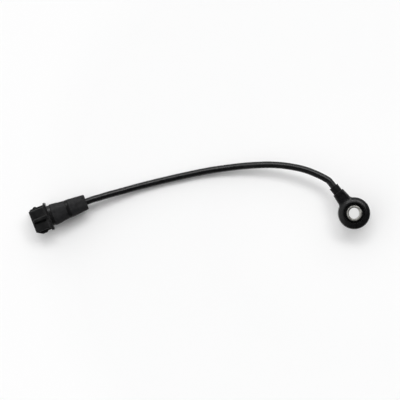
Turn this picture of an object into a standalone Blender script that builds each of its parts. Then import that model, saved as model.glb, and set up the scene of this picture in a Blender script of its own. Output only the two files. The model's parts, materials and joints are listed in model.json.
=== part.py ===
"""Engine knock sensor: a ring-shaped head on a bolt sleeve, a cable and a three-way plug.

All sizes are in metres and +Z points up. The bolt bore runs along Z, the cable neck
leaves the head along +X, and the contact face lies at Z = 0. The row's origin is the
bottom centre of the head, so the bore stands a little to its -X side.
"""

import math

import bmesh
import bpy
from mathutils import Vector
from mathutils.geometry import interpolate_bezier

# Fit and finish shared by the whole sensor
SEAT_GAP = 0.0003
OVERLAP = 0.0005
WELD_DISTANCE = 1e-7
SMOOTH_ANGLE = math.radians(35)
VISIBLE_STEPS = 64
INNER_STEPS = 28
SMALL_STEPS = 20
CORNER_STEPS = 6
FINE_CORNER_STEPS = 2
ROUTE_STEPS = 24
ROUTE_HANDLE_SHARE = 1 / 3
EDGE_MIDDLE_PLACE = 0.3
EDGE_MIDDLE_INSET = 0.4

# Bolt sleeve
BORE_DIAMETER = 0.0084
SLEEVE_WALL = 0.0015
FLANGE_THICKNESS = 0.0020
SLEEVE_CHAMFER = 0.0003
SLEEVE_PROUD = 0.0007

# Sensing stack, from the contact flange upward
TUBE_WALL = 0.0004
STACK_RING_WIDTH = 0.0018
WASHER_THICKNESS = 0.0005
CONTACT_THICKNESS = 0.0004
PIEZO_THICKNESS = 0.0026
MASS_THICKNESS = 0.0028
MASS_CHAMFER = 0.0003
SPRING_THICKNESS = 0.0006
SPRING_CONE = 0.0005
NUT_THICKNESS = 0.0019
NUT_SLOT_WIDTH = 0.0016
NUT_SLOT_DEPTH = 0.0007
NUT_SLOTS = 4

# Upturned tabs of the contact discs
TAB_WIDTH = 0.0012
TAB_SPACING = 0.0018
TAB_CLEARANCE = 0.0007
TAB_OVERRUN = 0.0010

# Moulded head
STACK_CLEARANCE = 0.0008
HOUSING_WALL = 0.0027
HOUSING_LIP = 0.0017
HOUSING_LIFT = 0.0005
HOUSING_FOOT_CHAMFER = 0.0006
ROOF_THICKNESS = 0.0010
RIM_HEIGHT = 0.0019
RIM_OUTER_ROUND = 0.0034
RIM_OUTER_FALL = 0.0027
RIM_OUTER_STEPS = 7
RIM_INNER_ROUND = 0.0005
RIM_INNER_STEPS = 3

# Cable neck of the head
NECK_AXIS_HEIGHT = 0.0118
NECK_LENGTH = 0.0080
NECK_SIDE_WALL = 0.0011
NECK_TOP_WALL = 0.0013
NECK_WIDTH_TAPER = 0.0018
NECK_HEIGHT_TAPER = 0.0008
NECK_EDGE_ROUND = 0.0022
NECK_ROOT_FLARE = 0.0016
NECK_ROOT_SPREAD = 0.0048

# Cores, grommet and cable
CORE_DIAMETER = 0.0011
GROMMET_WALL = 0.00115
GROMMET_SPIGOT_LENGTH = 0.0060
COLLAR_LENGTH = 0.0051
COLLAR_STEP = 0.00065
COLLAR_BEAD = 0.00025
COLLAR_BEAD_LENGTH = 0.0009
CABLE_DIAMETER = 0.0051
CABLE_POINT_SPACING = 1.5 * CABLE_DIAMETER
CABLE_END_STRAIGHT = 0.0040
CABLE_SIDES_RESOLUTION = 4
CORE_SIDES_RESOLUTION = 2
CORE_POINT_SPACING = 2.0 * CORE_DIAMETER

# Where the plug lies, from the bore axis to its cable entry
PLUG_ENTRY_X = 0.1301
PLUG_ENTRY_Y = 0.1549
PLUG_HEADING = math.radians(73.6)

# Terminals and the seal that the cores pass through
TERMINAL_PITCH = 0.0034
BLADE_WIDTH = 0.0018
BLADE_THICKNESS = 0.0008
BLADE_CORNER = 0.0001
BLADE_TIP_LENGTH = 0.0009
BLADE_TIP_SHARE = 0.45
BLADE_RECESS = 0.0054
CRIMP_WIDTH = 0.0016
CRIMP_LENGTH = 0.0027
CRIMP_CORNER = 0.0004
CRIMP_SHOULDER = 0.0004
SEAL_LENGTH = 0.0023
SEAL_HEIGHT = 0.0064
SEAL_EDGE = 0.0005
SEAL_CORNER = 0.0012

# Boot of the plug
BOOT_LENGTH = 0.0273
BOOT_WALL = 0.00155
BOOT_END_WALL = 0.0020
BOOT_WIDTH_TAPER = 0.0050
BOOT_HEIGHT_TAPER = 0.0038
BOOT_CORNER_SHARE = 0.78
BOOT_EDGE_ROUND = 0.0007
BOOT_FRONT_INSET = 0.0005
BOOT_SADDLE_START = 0.0128
BOOT_SADDLE_LENGTH = 0.0034
BOOT_SADDLE_DEPTH = 0.0006
BOOT_SADDLE_SIDE = 0.0003
BOOT_SADDLE_REAR_RAMP = 0.0009
BOOT_SADDLE_FRONT_RAMP = 0.0013
GATE_MARK_DIAMETER = 0.0014
GATE_MARK_SINK = 0.0012
GATE_MARK_INSET = 0.0018
GATE_MARK_SIDE = 0.0035
FERRULE_WALL = 0.0005
FERRULE_LENGTH = 0.0050
FERRULE_LIP = 0.0002
FERRULE_LIP_LENGTH = 0.0006
FERRULE_LIP_RAMP = 0.0002

# Plug shell
SPIGOT_LENGTH = 0.0053
SPIGOT_WALL = 0.0009
SHELL_NECK_LENGTH = 0.0019
SHELL_NECK_STEP = 0.0007
PLUG_FLANGE_THICKNESS = 0.0018
PLUG_FLANGE_SIDE = 0.0024
PLUG_FLANGE_TOP = 0.0013
PLUG_FLANGE_CHAMFER = 0.0003
PLUG_FLANGE_CORNER = 0.0020
WEB_THICKNESS = 0.0036
SOCKET_DEPTH = 0.0118
SOCKET_WIDTH = 0.0140
SOCKET_HEIGHT = 0.0104
SOCKET_CORNER = 0.0012
SHROUD_WALL = 0.0014
SHROUD_MOUTH_ROUND = 0.0003
LOCK_THICKNESS = 0.0012
RAIL_HEIGHT = 0.0050
RAIL_DEPTH = 0.0013
LUG_DEPTH = 0.0009
LUG_FRONT = 0.0044
LUG_LENGTH = 0.0024
KEY_WIDTH = 0.0032
KEY_HEIGHT = 0.0012
KEY_OFFSET = -0.0016
KEY_SETBACK = 0.0008

# Radii that follow from the bore outward
bore_radius = BORE_DIAMETER / 2
sleeve_radius = bore_radius + SLEEVE_WALL
tube_inner_radius = sleeve_radius + SEAT_GAP
tube_outer_radius = tube_inner_radius + TUBE_WALL
stack_inner_radius = tube_outer_radius + SEAT_GAP
stack_radius = stack_inner_radius + STACK_RING_WIDTH
cavity_radius = stack_radius + STACK_CLEARANCE
housing_radius = cavity_radius + HOUSING_WALL
flange_radius = housing_radius - HOUSING_LIP - SEAT_GAP

# Heights that follow from the contact flange upward
tube_bottom = FLANGE_THICKNESS + SEAT_GAP
lower_washer_bottom = FLANGE_THICKNESS + SEAT_GAP
lower_contact_bottom = lower_washer_bottom + WASHER_THICKNESS + SEAT_GAP
piezo_bottom = lower_contact_bottom + CONTACT_THICKNESS + SEAT_GAP
upper_contact_bottom = piezo_bottom + PIEZO_THICKNESS + SEAT_GAP
upper_washer_bottom = upper_contact_bottom + CONTACT_THICKNESS + SEAT_GAP
mass_bottom = upper_washer_bottom + WASHER_THICKNESS + SEAT_GAP
mass_top = mass_bottom + MASS_THICKNESS
tube_top = mass_top - SEAT_GAP
spring_bottom = mass_top + SEAT_GAP
nut_bottom = spring_bottom + SPRING_THICKNESS + SPRING_CONE + SEAT_GAP
nut_top = nut_bottom + NUT_THICKNESS
roof_bottom = nut_top + SEAT_GAP
recess_floor = roof_bottom + ROOF_THICKNESS
rim_top = recess_floor + RIM_HEIGHT
sleeve_top = rim_top + SLEEVE_PROUD

# Neck, grommet and cores at the head
tab_inner_x = stack_radius + TAB_CLEARANCE
tab_outer_x = tab_inner_x + CONTACT_THICKNESS
core_radius = CORE_DIAMETER / 2
head_passage_radius = TAB_SPACING / 2 + core_radius + SEAT_GAP
grommet_radius = head_passage_radius + GROMMET_WALL
channel_radius = grommet_radius + SEAT_GAP
neck_end_x = housing_radius + NECK_LENGTH
neck_end_width = 2 * (channel_radius + NECK_SIDE_WALL)
neck_end_height = 2 * (channel_radius + NECK_TOP_WALL)
collar_start_x = neck_end_x + SEAT_GAP
collar_end_x = collar_start_x + COLLAR_LENGTH
collar_radius = grommet_radius + COLLAR_STEP
spigot_start_x = collar_start_x - GROMMET_SPIGOT_LENGTH

# The bore axis, set so that the head's box is centred on the origin
bore_x = -(collar_end_x - housing_radius) / 2

# Cores, ferrule and seal at the plug
plug_bundle_radius = (CORE_DIAMETER + SEAT_GAP) / math.sqrt(3)
plug_passage_radius = plug_bundle_radius + core_radius + SEAT_GAP
ferrule_radius = plug_passage_radius + FERRULE_WALL
ferrule_lip_radius = ferrule_radius + FERRULE_LIP
ferrule_start = BOOT_END_WALL + SEAT_GAP
ferrule_end = ferrule_start + FERRULE_LENGTH
ferrule_seat_radius = ferrule_lip_radius + SEAT_GAP
seal_hole_radius = core_radius + SEAT_GAP
seal_width = 2 * (TERMINAL_PITCH + seal_hole_radius + SEAL_EDGE)

# Plug stations along its own axis, from the cable entry to the mouth
spigot_rear = BOOT_LENGTH - SPIGOT_LENGTH
seal_start = spigot_rear + SEAT_GAP
seal_end = seal_start + SEAL_LENGTH
crimp_start = seal_end + SEAT_GAP
crimp_end = crimp_start + CRIMP_LENGTH
pocket_floor = crimp_end + SEAT_GAP
shell_neck_start = BOOT_LENGTH + SEAT_GAP
plug_flange_start = shell_neck_start + SHELL_NECK_LENGTH
plug_flange_end = plug_flange_start + PLUG_FLANGE_THICKNESS
socket_floor = pocket_floor + WEB_THICKNESS
mouth = socket_floor + SOCKET_DEPTH
blade_tip = mouth - BLADE_RECESS
lock_start = socket_floor + SEAT_GAP

# Plug widths and heights, from the seal outward
pocket_width = seal_width + 2 * SEAT_GAP
pocket_height = SEAL_HEIGHT + 2 * SEAT_GAP
spigot_width = pocket_width + 2 * SPIGOT_WALL
spigot_height = pocket_height + 2 * SPIGOT_WALL
boot_width_at_spigot = spigot_width + 2 * (SEAT_GAP + BOOT_WALL)
boot_height_at_spigot = spigot_height + 2 * (SEAT_GAP + BOOT_WALL)
boot_front_width = boot_width_at_spigot + BOOT_WIDTH_TAPER * SPIGOT_LENGTH / BOOT_LENGTH
boot_front_height = boot_height_at_spigot + BOOT_HEIGHT_TAPER * SPIGOT_LENGTH / BOOT_LENGTH
shell_neck_width = boot_front_width - 2 * SHELL_NECK_STEP
shell_neck_height = boot_front_height - 2 * SHELL_NECK_STEP
shroud_width = SOCKET_WIDTH + 2 * SHROUD_WALL
shroud_height = SOCKET_HEIGHT + 2 * SHROUD_WALL
shroud_corner = SOCKET_CORNER + SHROUD_WALL
plug_flange_width = shroud_width + 2 * PLUG_FLANGE_SIDE
plug_flange_height = shroud_height + 2 * PLUG_FLANGE_TOP
plug_axis_height = plug_flange_height / 2

# The plug's cores in the order of its terminals, and the first one's place in the bundle
PLUG_CORES = (
    ("plug_signal_core", "signal_insulation"),
    ("plug_drain_core", "drain_insulation"),
    ("plug_return_core", "return_insulation"),
)
FIRST_CORE_ANGLE = math.radians(210)
terminal_count = len(PLUG_CORES)

# Stops of the cable between the grommet and the plug, from the bore axis
CABLE_STOPS = (
    (0.0352, 0.0018, 0.0118),
    (0.0405, 0.0044, 0.0117),
    (0.0475, 0.0086, 0.0113),
    (0.0582, 0.0175, 0.0102),
    (0.0674, 0.0276, 0.0085),
    (0.0741, 0.0368, 0.0070),
    (0.0803, 0.0462, 0.0055),
    (0.0850, 0.0541, 0.0043),
    (0.0917, 0.0660, 0.0032),
    (0.1019, 0.0868, 0.00265),
    (0.1115, 0.1080, 0.0028),
    (0.1162, 0.1190, 0.0034),
    (0.1206, 0.1298, 0.0048),
    (0.1243, 0.1388, 0.0063),
    (0.1274, 0.1470, 0.0074),
)


def clear_scene():
    """Remove whatever objects the open file holds."""
    for old in list(bpy.data.objects):
        bpy.data.objects.remove(old, do_unlink=True)


def make_material(name, colour, roughness, metallic=0.0):
    """A plain shader in the piece's own colour."""
    material = bpy.data.materials.new(name)
    material.use_nodes = True
    shader = material.node_tree.nodes["Principled BSDF"]
    shader.inputs["Base Color"].default_value = (*colour, 1.0)
    shader.inputs["Roughness"].default_value = roughness
    shader.inputs["Metallic"].default_value = metallic
    return material


def make_materials():
    """One material for each finish, by name."""
    return {
        "moulded_nylon": make_material("moulded_nylon", (0.018, 0.018, 0.020), 0.45),
        "plug_nylon": make_material("plug_nylon", (0.026, 0.026, 0.028), 0.50),
        "boot_plastic": make_material("boot_plastic", (0.024, 0.024, 0.026), 0.48),
        "grommet_rubber": make_material("grommet_rubber", (0.022, 0.022, 0.024), 0.60),
        "cable_jacket": make_material("cable_jacket", (0.015, 0.015, 0.016), 0.42),
        "seal_rubber": make_material("seal_rubber", (0.30, 0.08, 0.04), 0.60),
        "lock_plastic": make_material("lock_plastic", (0.10, 0.10, 0.10), 0.50),
        "plated_steel": make_material("plated_steel", (0.56, 0.55, 0.53), 0.30, 1.0),
        "mass_steel": make_material("mass_steel", (0.40, 0.40, 0.40), 0.40, 1.0),
        "spring_steel": make_material("spring_steel", (0.30, 0.30, 0.32), 0.35, 1.0),
        "contact_brass": make_material("contact_brass", (0.80, 0.58, 0.28), 0.30, 1.0),
        "tinned_brass": make_material("tinned_brass", (0.70, 0.69, 0.66), 0.28, 1.0),
        "piezo_ceramic": make_material("piezo_ceramic", (0.62, 0.58, 0.50), 0.55),
        "insulating_film": make_material("insulating_film", (0.75, 0.45, 0.12), 0.40),
        "signal_insulation": make_material("signal_insulation", (0.85, 0.83, 0.78), 0.45),
        "return_insulation": make_material("return_insulation", (0.06, 0.06, 0.06), 0.45),
        "drain_insulation": make_material("drain_insulation", (0.35, 0.20, 0.10), 0.45),
    }


def add_frame(name, location, heading=0.0):
    """An empty that the pieces of one group hang from."""
    frame = bpy.data.objects.new(name, None)
    bpy.context.scene.collection.objects.link(frame)
    frame.location = location
    frame.rotation_euler = (0.0, 0.0, heading)
    return frame


def add_piece(name, bm, parent, material=None):
    """Turn a finished bmesh into an object under its group's empty."""
    bmesh.ops.recalc_face_normals(bm, faces=bm.faces)
    mesh = bpy.data.meshes.new(name)
    bm.to_mesh(mesh)
    bm.free()
    mesh.shade_smooth()
    mesh.set_sharp_from_angle(angle=SMOOTH_ANGLE)
    piece = bpy.data.objects.new(name, mesh)
    bpy.context.scene.collection.objects.link(piece)
    piece.parent = parent
    if material is not None:
        mesh.materials.append(material)
    return piece


def combine(piece, tool, operation):
    """Join a tool body to a piece, or cut it from the piece, and hide the tool."""
    modifier = piece.modifiers.new(tool.name, "BOOLEAN")
    modifier.operation = operation
    modifier.solver = "EXACT"
    modifier.object = tool
    tool.hide_render = True
    tool.display_type = "WIRE"


def turned(profile, steps, along_x=False, height=0.0):
    """Spin a closed outline of (radius, station) points once round Z, or round X at a height.

    An outline with two points on the axis makes a solid rod, and any other makes a ring.
    """
    bm = bmesh.new()
    if along_x:
        corners = [bm.verts.new((station, 0.0, height + radius)) for radius, station in profile]
        axis = (1.0, 0.0, 0.0)
    else:
        corners = [bm.verts.new((radius, 0.0, station)) for radius, station in profile]
        axis = (0.0, 0.0, 1.0)
    edges = [bm.edges.new(pair) for pair in zip(corners, corners[1:] + corners[:1])]
    bmesh.ops.spin(
        bm,
        geom=corners + edges,
        cent=(0.0, 0.0, height),
        axis=axis,
        angle=math.tau,
        steps=steps,
        use_merge=True,
    )
    bmesh.ops.remove_doubles(bm, verts=bm.verts, dist=WELD_DISTANCE)
    on_axis = [edge for edge in bm.edges if not edge.link_faces]
    bmesh.ops.delete(bm, geom=on_axis, context="EDGES")
    return bm


def rounded_outline(width, height, corner_y, corner_z, corner_steps):
    """Points of a rectangle with elliptical corners, as (y, z) pairs round the X axis."""
    points = []
    for quarter, (side_y, side_z) in enumerate(((1, 1), (-1, 1), (-1, -1), (1, -1))):
        for step in range(corner_steps + 1):
            angle = math.pi / 2 * (quarter + step / corner_steps)
            y = side_y * (width / 2 - corner_y) + corner_y * math.cos(angle)
            z = side_z * (height / 2 - corner_z) + corner_z * math.sin(angle)
            points.append((y, z))
    return points


def lofted(sections, height=0.0, corner_steps=CORNER_STEPS):
    """Skin rounded rectangles (x, width, height, corner_y, corner_z) and cap both ends."""
    bm = bmesh.new()
    rings = []
    for x, *size in sections:
        outline = rounded_outline(*size, corner_steps)
        rings.append([bm.verts.new((x, y, height + z)) for y, z in outline])
    for near, far in zip(rings, rings[1:]):
        for first, second, third, fourth in zip(near, near[1:] + near[:1], far[1:] + far[:1], far):
            bm.faces.new((first, second, third, fourth))
    bm.faces.new(rings[0])
    bm.faces.new(rings[-1])
    return bm


def extruded(outline, direction):
    """Extrude a flat outline of 3-D points along a direction."""
    bm = bmesh.new()
    face = bm.faces.new([bm.verts.new(point) for point in outline])
    grown = bmesh.ops.extrude_face_region(bm, geom=[face])["geom"]
    moved = [item for item in grown if isinstance(item, bmesh.types.BMVert)]
    bmesh.ops.translate(bm, verts=moved, vec=direction)
    return bm


def block(low, high):
    """A plain box between two corners."""
    outline = [
        (low[0], low[1], low[2]),
        (high[0], low[1], low[2]),
        (high[0], high[1], low[2]),
        (low[0], high[1], low[2]),
    ]
    return extruded(outline, (0.0, 0.0, high[2] - low[2]))


def ring_profile(inner, outer, bottom, thickness, chamfer=0.0):
    """Outline of a flat ring, with its four edges broken where a chamfer is given."""
    top = bottom + thickness
    if chamfer == 0.0:
        return [(inner, bottom), (outer, bottom), (outer, top), (inner, top)]
    return [
        (inner + chamfer, bottom),
        (outer - chamfer, bottom),
        (outer, bottom + chamfer),
        (outer, top - chamfer),
        (outer - chamfer, top),
        (inner + chamfer, top),
        (inner, top - chamfer),
        (inner, bottom + chamfer),
    ]


def quarter_round(centre, radii, start, steps):
    """Points of a quarter ellipse from a start angle, clockwise, ends included."""
    points = []
    for step in range(steps + 1):
        angle = start - math.pi / 2 * step / steps
        points.append((centre[0] + radii[0] * math.cos(angle), centre[1] + radii[1] * math.sin(angle)))
    return points


def smooth_route(stops, first_direction, last_direction, spacing):
    """Points about a set distance apart on one smooth curve through all the stops."""
    stops = [Vector(stop) for stop in stops]
    directions = [Vector(first_direction)]
    for before, here, after in zip(stops, stops[1:], stops[2:]):
        back = here - before
        ahead = after - here
        directions.append((back / back.length_squared + ahead / ahead.length_squared).normalized())
    directions.append(Vector(last_direction))
    curve = [stops[0]]
    for index in range(len(stops) - 1):
        near_stop = stops[index]
        far_stop = stops[index + 1]
        reach = (far_stop - near_stop).length * ROUTE_HANDLE_SHARE
        near_handle = near_stop + directions[index] * reach
        far_handle = far_stop - directions[index + 1] * reach
        curve += interpolate_bezier(near_stop, near_handle, far_handle, far_stop, ROUTE_STEPS)[1:]
    lengths = [0.0]
    for before, after in zip(curve, curve[1:]):
        lengths.append(lengths[-1] + (after - before).length)
    count = round(lengths[-1] / spacing)
    points = []
    place = 0
    for number in range(count + 1):
        target = lengths[-1] * number / count
        while place < len(lengths) - 2 and lengths[place + 1] < target:
            place += 1
        share = (target - lengths[place]) / (lengths[place + 1] - lengths[place])
        points.append(curve[place].lerp(curve[place + 1], min(share, 1.0)))
    return points


def add_wire(name, points, diameter, sides_resolution, parent, material):
    """A round wire or cable along a line of points, with closed ends."""
    curve = bpy.data.curves.new(name, "CURVE")
    curve.dimensions = "3D"
    curve.bevel_depth = diameter / 2
    curve.bevel_resolution = sides_resolution
    curve.use_fill_caps = True
    spline = curve.splines.new("POLY")
    spline.points.add(len(points) - 1)
    for target, point in zip(spline.points, points):
        target.co = (*point, 1.0)
    curve.materials.append(material)
    wire = bpy.data.objects.new(name, curve)
    bpy.context.scene.collection.objects.link(wire)
    wire.parent = parent
    return wire


def add_sleeve(parent, material):
    """Steel bush: bolt bore, contact flange at the foot and broken edges."""
    edge = SLEEVE_CHAMFER
    profile = [
        (bore_radius + edge, 0.0),
        (flange_radius - edge, 0.0),
        (flange_radius, edge),
        (flange_radius, FLANGE_THICKNESS - edge),
        (flange_radius - edge, FLANGE_THICKNESS),
        (sleeve_radius, FLANGE_THICKNESS),
        (sleeve_radius, sleeve_top - edge),
        (sleeve_radius - edge, sleeve_top),
        (bore_radius + edge, sleeve_top),
        (bore_radius, sleeve_top - edge),
        (bore_radius, edge),
    ]
    add_piece("sleeve", turned(profile, VISIBLE_STEPS), parent, material)


def add_stack_ring(name, bottom, thickness, parent, material, chamfer=0.0):
    """A flat ring of the sensing stack."""
    profile = ring_profile(stack_inner_radius, stack_radius, bottom, thickness, chamfer)
    return add_piece(name, turned(profile, INNER_STEPS), parent, material)


def add_contact_disc(name, bottom, side, parent, material):
    """A contact disc whose tab runs outward and turns up to its core."""
    disc = add_stack_ring(name, bottom, CONTACT_THICKNESS, parent, material)
    low_y = side * TAB_SPACING / 2 - TAB_WIDTH / 2
    start_x = stack_radius - OVERLAP
    tab_top = NECK_AXIS_HEIGHT + TAB_OVERRUN
    outline = [
        (start_x, low_y, bottom),
        (tab_outer_x, low_y, bottom),
        (tab_outer_x, low_y, tab_top),
        (tab_inner_x, low_y, tab_top),
        (tab_inner_x, low_y, bottom + CONTACT_THICKNESS),
        (start_x, low_y, bottom + CONTACT_THICKNESS),
    ]
    tab = add_piece(name + "_tab", extruded(outline, (0.0, TAB_WIDTH, 0.0)), parent)
    combine(disc, tab, "UNION")


def add_disc_spring(parent, material):
    """Coned spring washer: outer edge on the mass, inner edge under the nut."""
    inner = sleeve_radius + SEAT_GAP
    outer = stack_radius - SEAT_GAP
    profile = [
        (inner, spring_bottom + SPRING_CONE),
        (outer, spring_bottom),
        (outer, spring_bottom + SPRING_THICKNESS),
        (inner, spring_bottom + SPRING_CONE + SPRING_THICKNESS),
    ]
    add_piece("disc_spring", turned(profile, INNER_STEPS), parent, material)


def add_clamp_nut(parent, material):
    """Ring nut with spanner slots in its top face."""
    inner = sleeve_radius + SEAT_GAP
    profile = ring_profile(inner, stack_radius, nut_bottom, NUT_THICKNESS, MASS_CHAMFER)
    nut = add_piece("clamp_nut", turned(profile, INNER_STEPS), parent, material)
    low = (inner - OVERLAP, -NUT_SLOT_WIDTH / 2, nut_top - NUT_SLOT_DEPTH)
    high = (stack_radius + OVERLAP, NUT_SLOT_WIDTH / 2, nut_top + OVERLAP)
    slot_turn = math.tau / NUT_SLOTS
    for number in range(NUT_SLOTS):
        slot = add_piece(f"nut_slot_{number + 1}", block(low, high), parent)
        slot.rotation_euler.z = slot_turn * number + slot_turn / 2
        combine(nut, slot, "DIFFERENCE")


def housing_profile():
    """Outline of the head before its cavity is cut: foot, wall, rolled rim, sunk centre."""
    hole = sleeve_radius + SEAT_GAP
    crest = housing_radius - RIM_OUTER_ROUND
    outer_centre = (crest, rim_top - RIM_OUTER_FALL)
    inner_centre = (crest, recess_floor)
    outer_radii = (RIM_OUTER_ROUND, RIM_OUTER_FALL)
    inner_radii = (RIM_INNER_ROUND, RIM_HEIGHT)
    outer_roll = quarter_round(outer_centre, outer_radii, math.pi / 2, RIM_OUTER_STEPS)
    inner_roll = quarter_round(inner_centre, inner_radii, math.pi, RIM_INNER_STEPS)
    return [
        (hole, HOUSING_LIFT),
        (hole, recess_floor),
        *inner_roll,
        *outer_roll[1:],
        (housing_radius, HOUSING_LIFT + HOUSING_FOOT_CHAMFER),
        (housing_radius - HOUSING_FOOT_CHAMFER, HOUSING_LIFT),
    ]


def neck_sections():
    """Sections of the neck, from inside the head to its flat end."""
    root_width = neck_end_width + NECK_WIDTH_TAPER
    root_height = neck_end_height + NECK_HEIGHT_TAPER
    flare_x = housing_radius - NECK_ROOT_FLARE
    edge = NECK_EDGE_ROUND
    end_inset = 2 * SEAT_GAP
    return [
        (cavity_radius - OVERLAP, root_width + NECK_ROOT_SPREAD, root_height, edge, edge),
        (flare_x, root_width + NECK_ROOT_FLARE, root_height, edge, edge),
        (housing_radius, root_width, root_height, edge, edge),
        (neck_end_x - SEAT_GAP, neck_end_width, neck_end_height, edge, edge),
        (neck_end_x, neck_end_width - end_inset, neck_end_height - end_inset, edge, edge),
    ]


def add_housing(parent, material):
    """Moulded head and neck with the stack cavity, tab pocket and grommet channel."""
    housing = add_piece("housing", turned(housing_profile(), VISIBLE_STEPS), parent, material)
    neck = add_piece("housing_neck", lofted(neck_sections(), NECK_AXIS_HEIGHT), parent)
    combine(housing, neck, "UNION")

    inside = sleeve_radius - OVERLAP
    recess_radius = flange_radius + SEAT_GAP
    recess_top = FLANGE_THICKNESS + SEAT_GAP
    cavity_profile = [
        (inside, 0.0),
        (recess_radius, 0.0),
        (recess_radius, recess_top),
        (cavity_radius, recess_top),
        (cavity_radius, roof_bottom),
        (inside, roof_bottom),
    ]
    cavity = add_piece("stack_cavity", turned(cavity_profile, VISIBLE_STEPS), parent)
    combine(housing, cavity, "DIFFERENCE")

    half_pocket = TAB_SPACING / 2 + TAB_WIDTH / 2 + SEAT_GAP
    pocket_low = (stack_inner_radius, -half_pocket, lower_contact_bottom - SEAT_GAP)
    pocket_high = (tab_outer_x + 2 * SEAT_GAP, half_pocket, NECK_AXIS_HEIGHT + TAB_OVERRUN + SEAT_GAP)
    pocket = add_piece("tab_pocket", block(pocket_low, pocket_high), parent)
    combine(housing, pocket, "DIFFERENCE")

    channel_start = spigot_start_x - SEAT_GAP
    channel_profile = [
        (0.0, stack_radius),
        (head_passage_radius, stack_radius),
        (head_passage_radius, channel_start),
        (channel_radius, channel_start),
        (channel_radius, neck_end_x + OVERLAP),
        (0.0, neck_end_x + OVERLAP),
    ]
    bm = turned(channel_profile, INNER_STEPS, along_x=True, height=NECK_AXIS_HEIGHT)
    channel = add_piece("grommet_channel", bm, parent)
    combine(housing, channel, "DIFFERENCE")


def add_neck_grommet(parent, material):
    """Grommet: spigot in the neck, collar outside it and a bead at the cable end."""
    edge = COLLAR_BEAD
    bead_start = collar_end_x - COLLAR_BEAD_LENGTH
    bead_radius = collar_radius + COLLAR_BEAD
    profile = [
        (head_passage_radius, spigot_start_x),
        (grommet_radius, spigot_start_x),
        (grommet_radius, collar_start_x),
        (collar_radius - edge, collar_start_x),
        (collar_radius, collar_start_x + edge),
        (collar_radius, bead_start - edge),
        (bead_radius, bead_start),
        (bead_radius, collar_end_x - edge),
        (bead_radius - edge, collar_end_x),
        (head_passage_radius, collar_end_x),
    ]
    bm = turned(profile, INNER_STEPS, along_x=True, height=NECK_AXIS_HEIGHT)
    add_piece("neck_grommet", bm, parent, material)


def add_head_cores(parent, materials):
    """Two cores from the contact tabs to the cable's end."""
    for name, side, finish in (
        ("head_signal_core", 1, "signal_insulation"),
        ("head_return_core", -1, "return_insulation"),
    ):
        y = side * TAB_SPACING / 2
        start = (tab_outer_x + SEAT_GAP, y, NECK_AXIS_HEIGHT)
        end = (collar_end_x, y, NECK_AXIS_HEIGHT)
        add_wire(name, [start, end], CORE_DIAMETER, CORE_SIDES_RESOLUTION, parent, materials[finish])


def add_head(parent, materials):
    """Every piece of the ring-shaped head, from the bolt sleeve outward."""
    film = materials["insulating_film"]
    brass = materials["contact_brass"]
    add_sleeve(parent, materials["plated_steel"])
    tube_height = tube_top - tube_bottom
    tube_profile = ring_profile(tube_inner_radius, tube_outer_radius, tube_bottom, tube_height)
    add_piece("insulating_tube", turned(tube_profile, INNER_STEPS), parent, film)
    add_stack_ring("lower_insulating_washer", lower_washer_bottom, WASHER_THICKNESS, parent, film)
    add_contact_disc("lower_contact_disc", lower_contact_bottom, 1, parent, brass)
    add_stack_ring("piezo_ring", piezo_bottom, PIEZO_THICKNESS, parent, materials["piezo_ceramic"])
    add_contact_disc("upper_contact_disc", upper_contact_bottom, -1, parent, brass)
    add_stack_ring("upper_insulating_washer", upper_washer_bottom, WASHER_THICKNESS, parent, film)
    mass = materials["mass_steel"]
    add_stack_ring("seismic_mass", mass_bottom, MASS_THICKNESS, parent, mass, MASS_CHAMFER)
    add_disc_spring(parent, materials["spring_steel"])
    add_clamp_nut(parent, materials["plated_steel"])
    add_housing(parent, materials["moulded_nylon"])
    add_neck_grommet(parent, materials["grommet_rubber"])
    add_head_cores(parent, materials)


def add_cable(parent, material):
    """The cable from the grommet's end face to the boot's end face."""
    outward = Vector((1.0, 0.0, 0.0))
    heading = Vector((math.cos(PLUG_HEADING), math.sin(PLUG_HEADING), 0.0))
    entry = Vector((PLUG_ENTRY_X, PLUG_ENTRY_Y, plug_axis_height))
    start = Vector((collar_end_x + SEAT_GAP, 0.0, NECK_AXIS_HEIGHT))
    end = entry - heading * SEAT_GAP
    stops = [start + outward * CABLE_END_STRAIGHT, *CABLE_STOPS, end - heading * CABLE_END_STRAIGHT]
    points = [start, *smooth_route(stops, outward, heading, CABLE_POINT_SPACING), end]
    add_wire("cable", points, CABLE_DIAMETER, CABLE_SIDES_RESOLUTION, parent, material)


def boot_size(x):
    """Outer width and height of the boot's even taper at a station."""
    share = (BOOT_LENGTH - x) / BOOT_LENGTH
    return boot_front_width - BOOT_WIDTH_TAPER * share, boot_front_height - BOOT_HEIGHT_TAPER * share


def oval_section(x, width, height):
    """A section whose corners take up most of its sides, so that its faces crown."""
    return (x, width, height, BOOT_CORNER_SHARE * width / 2, BOOT_CORNER_SHARE * height / 2)


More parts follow.
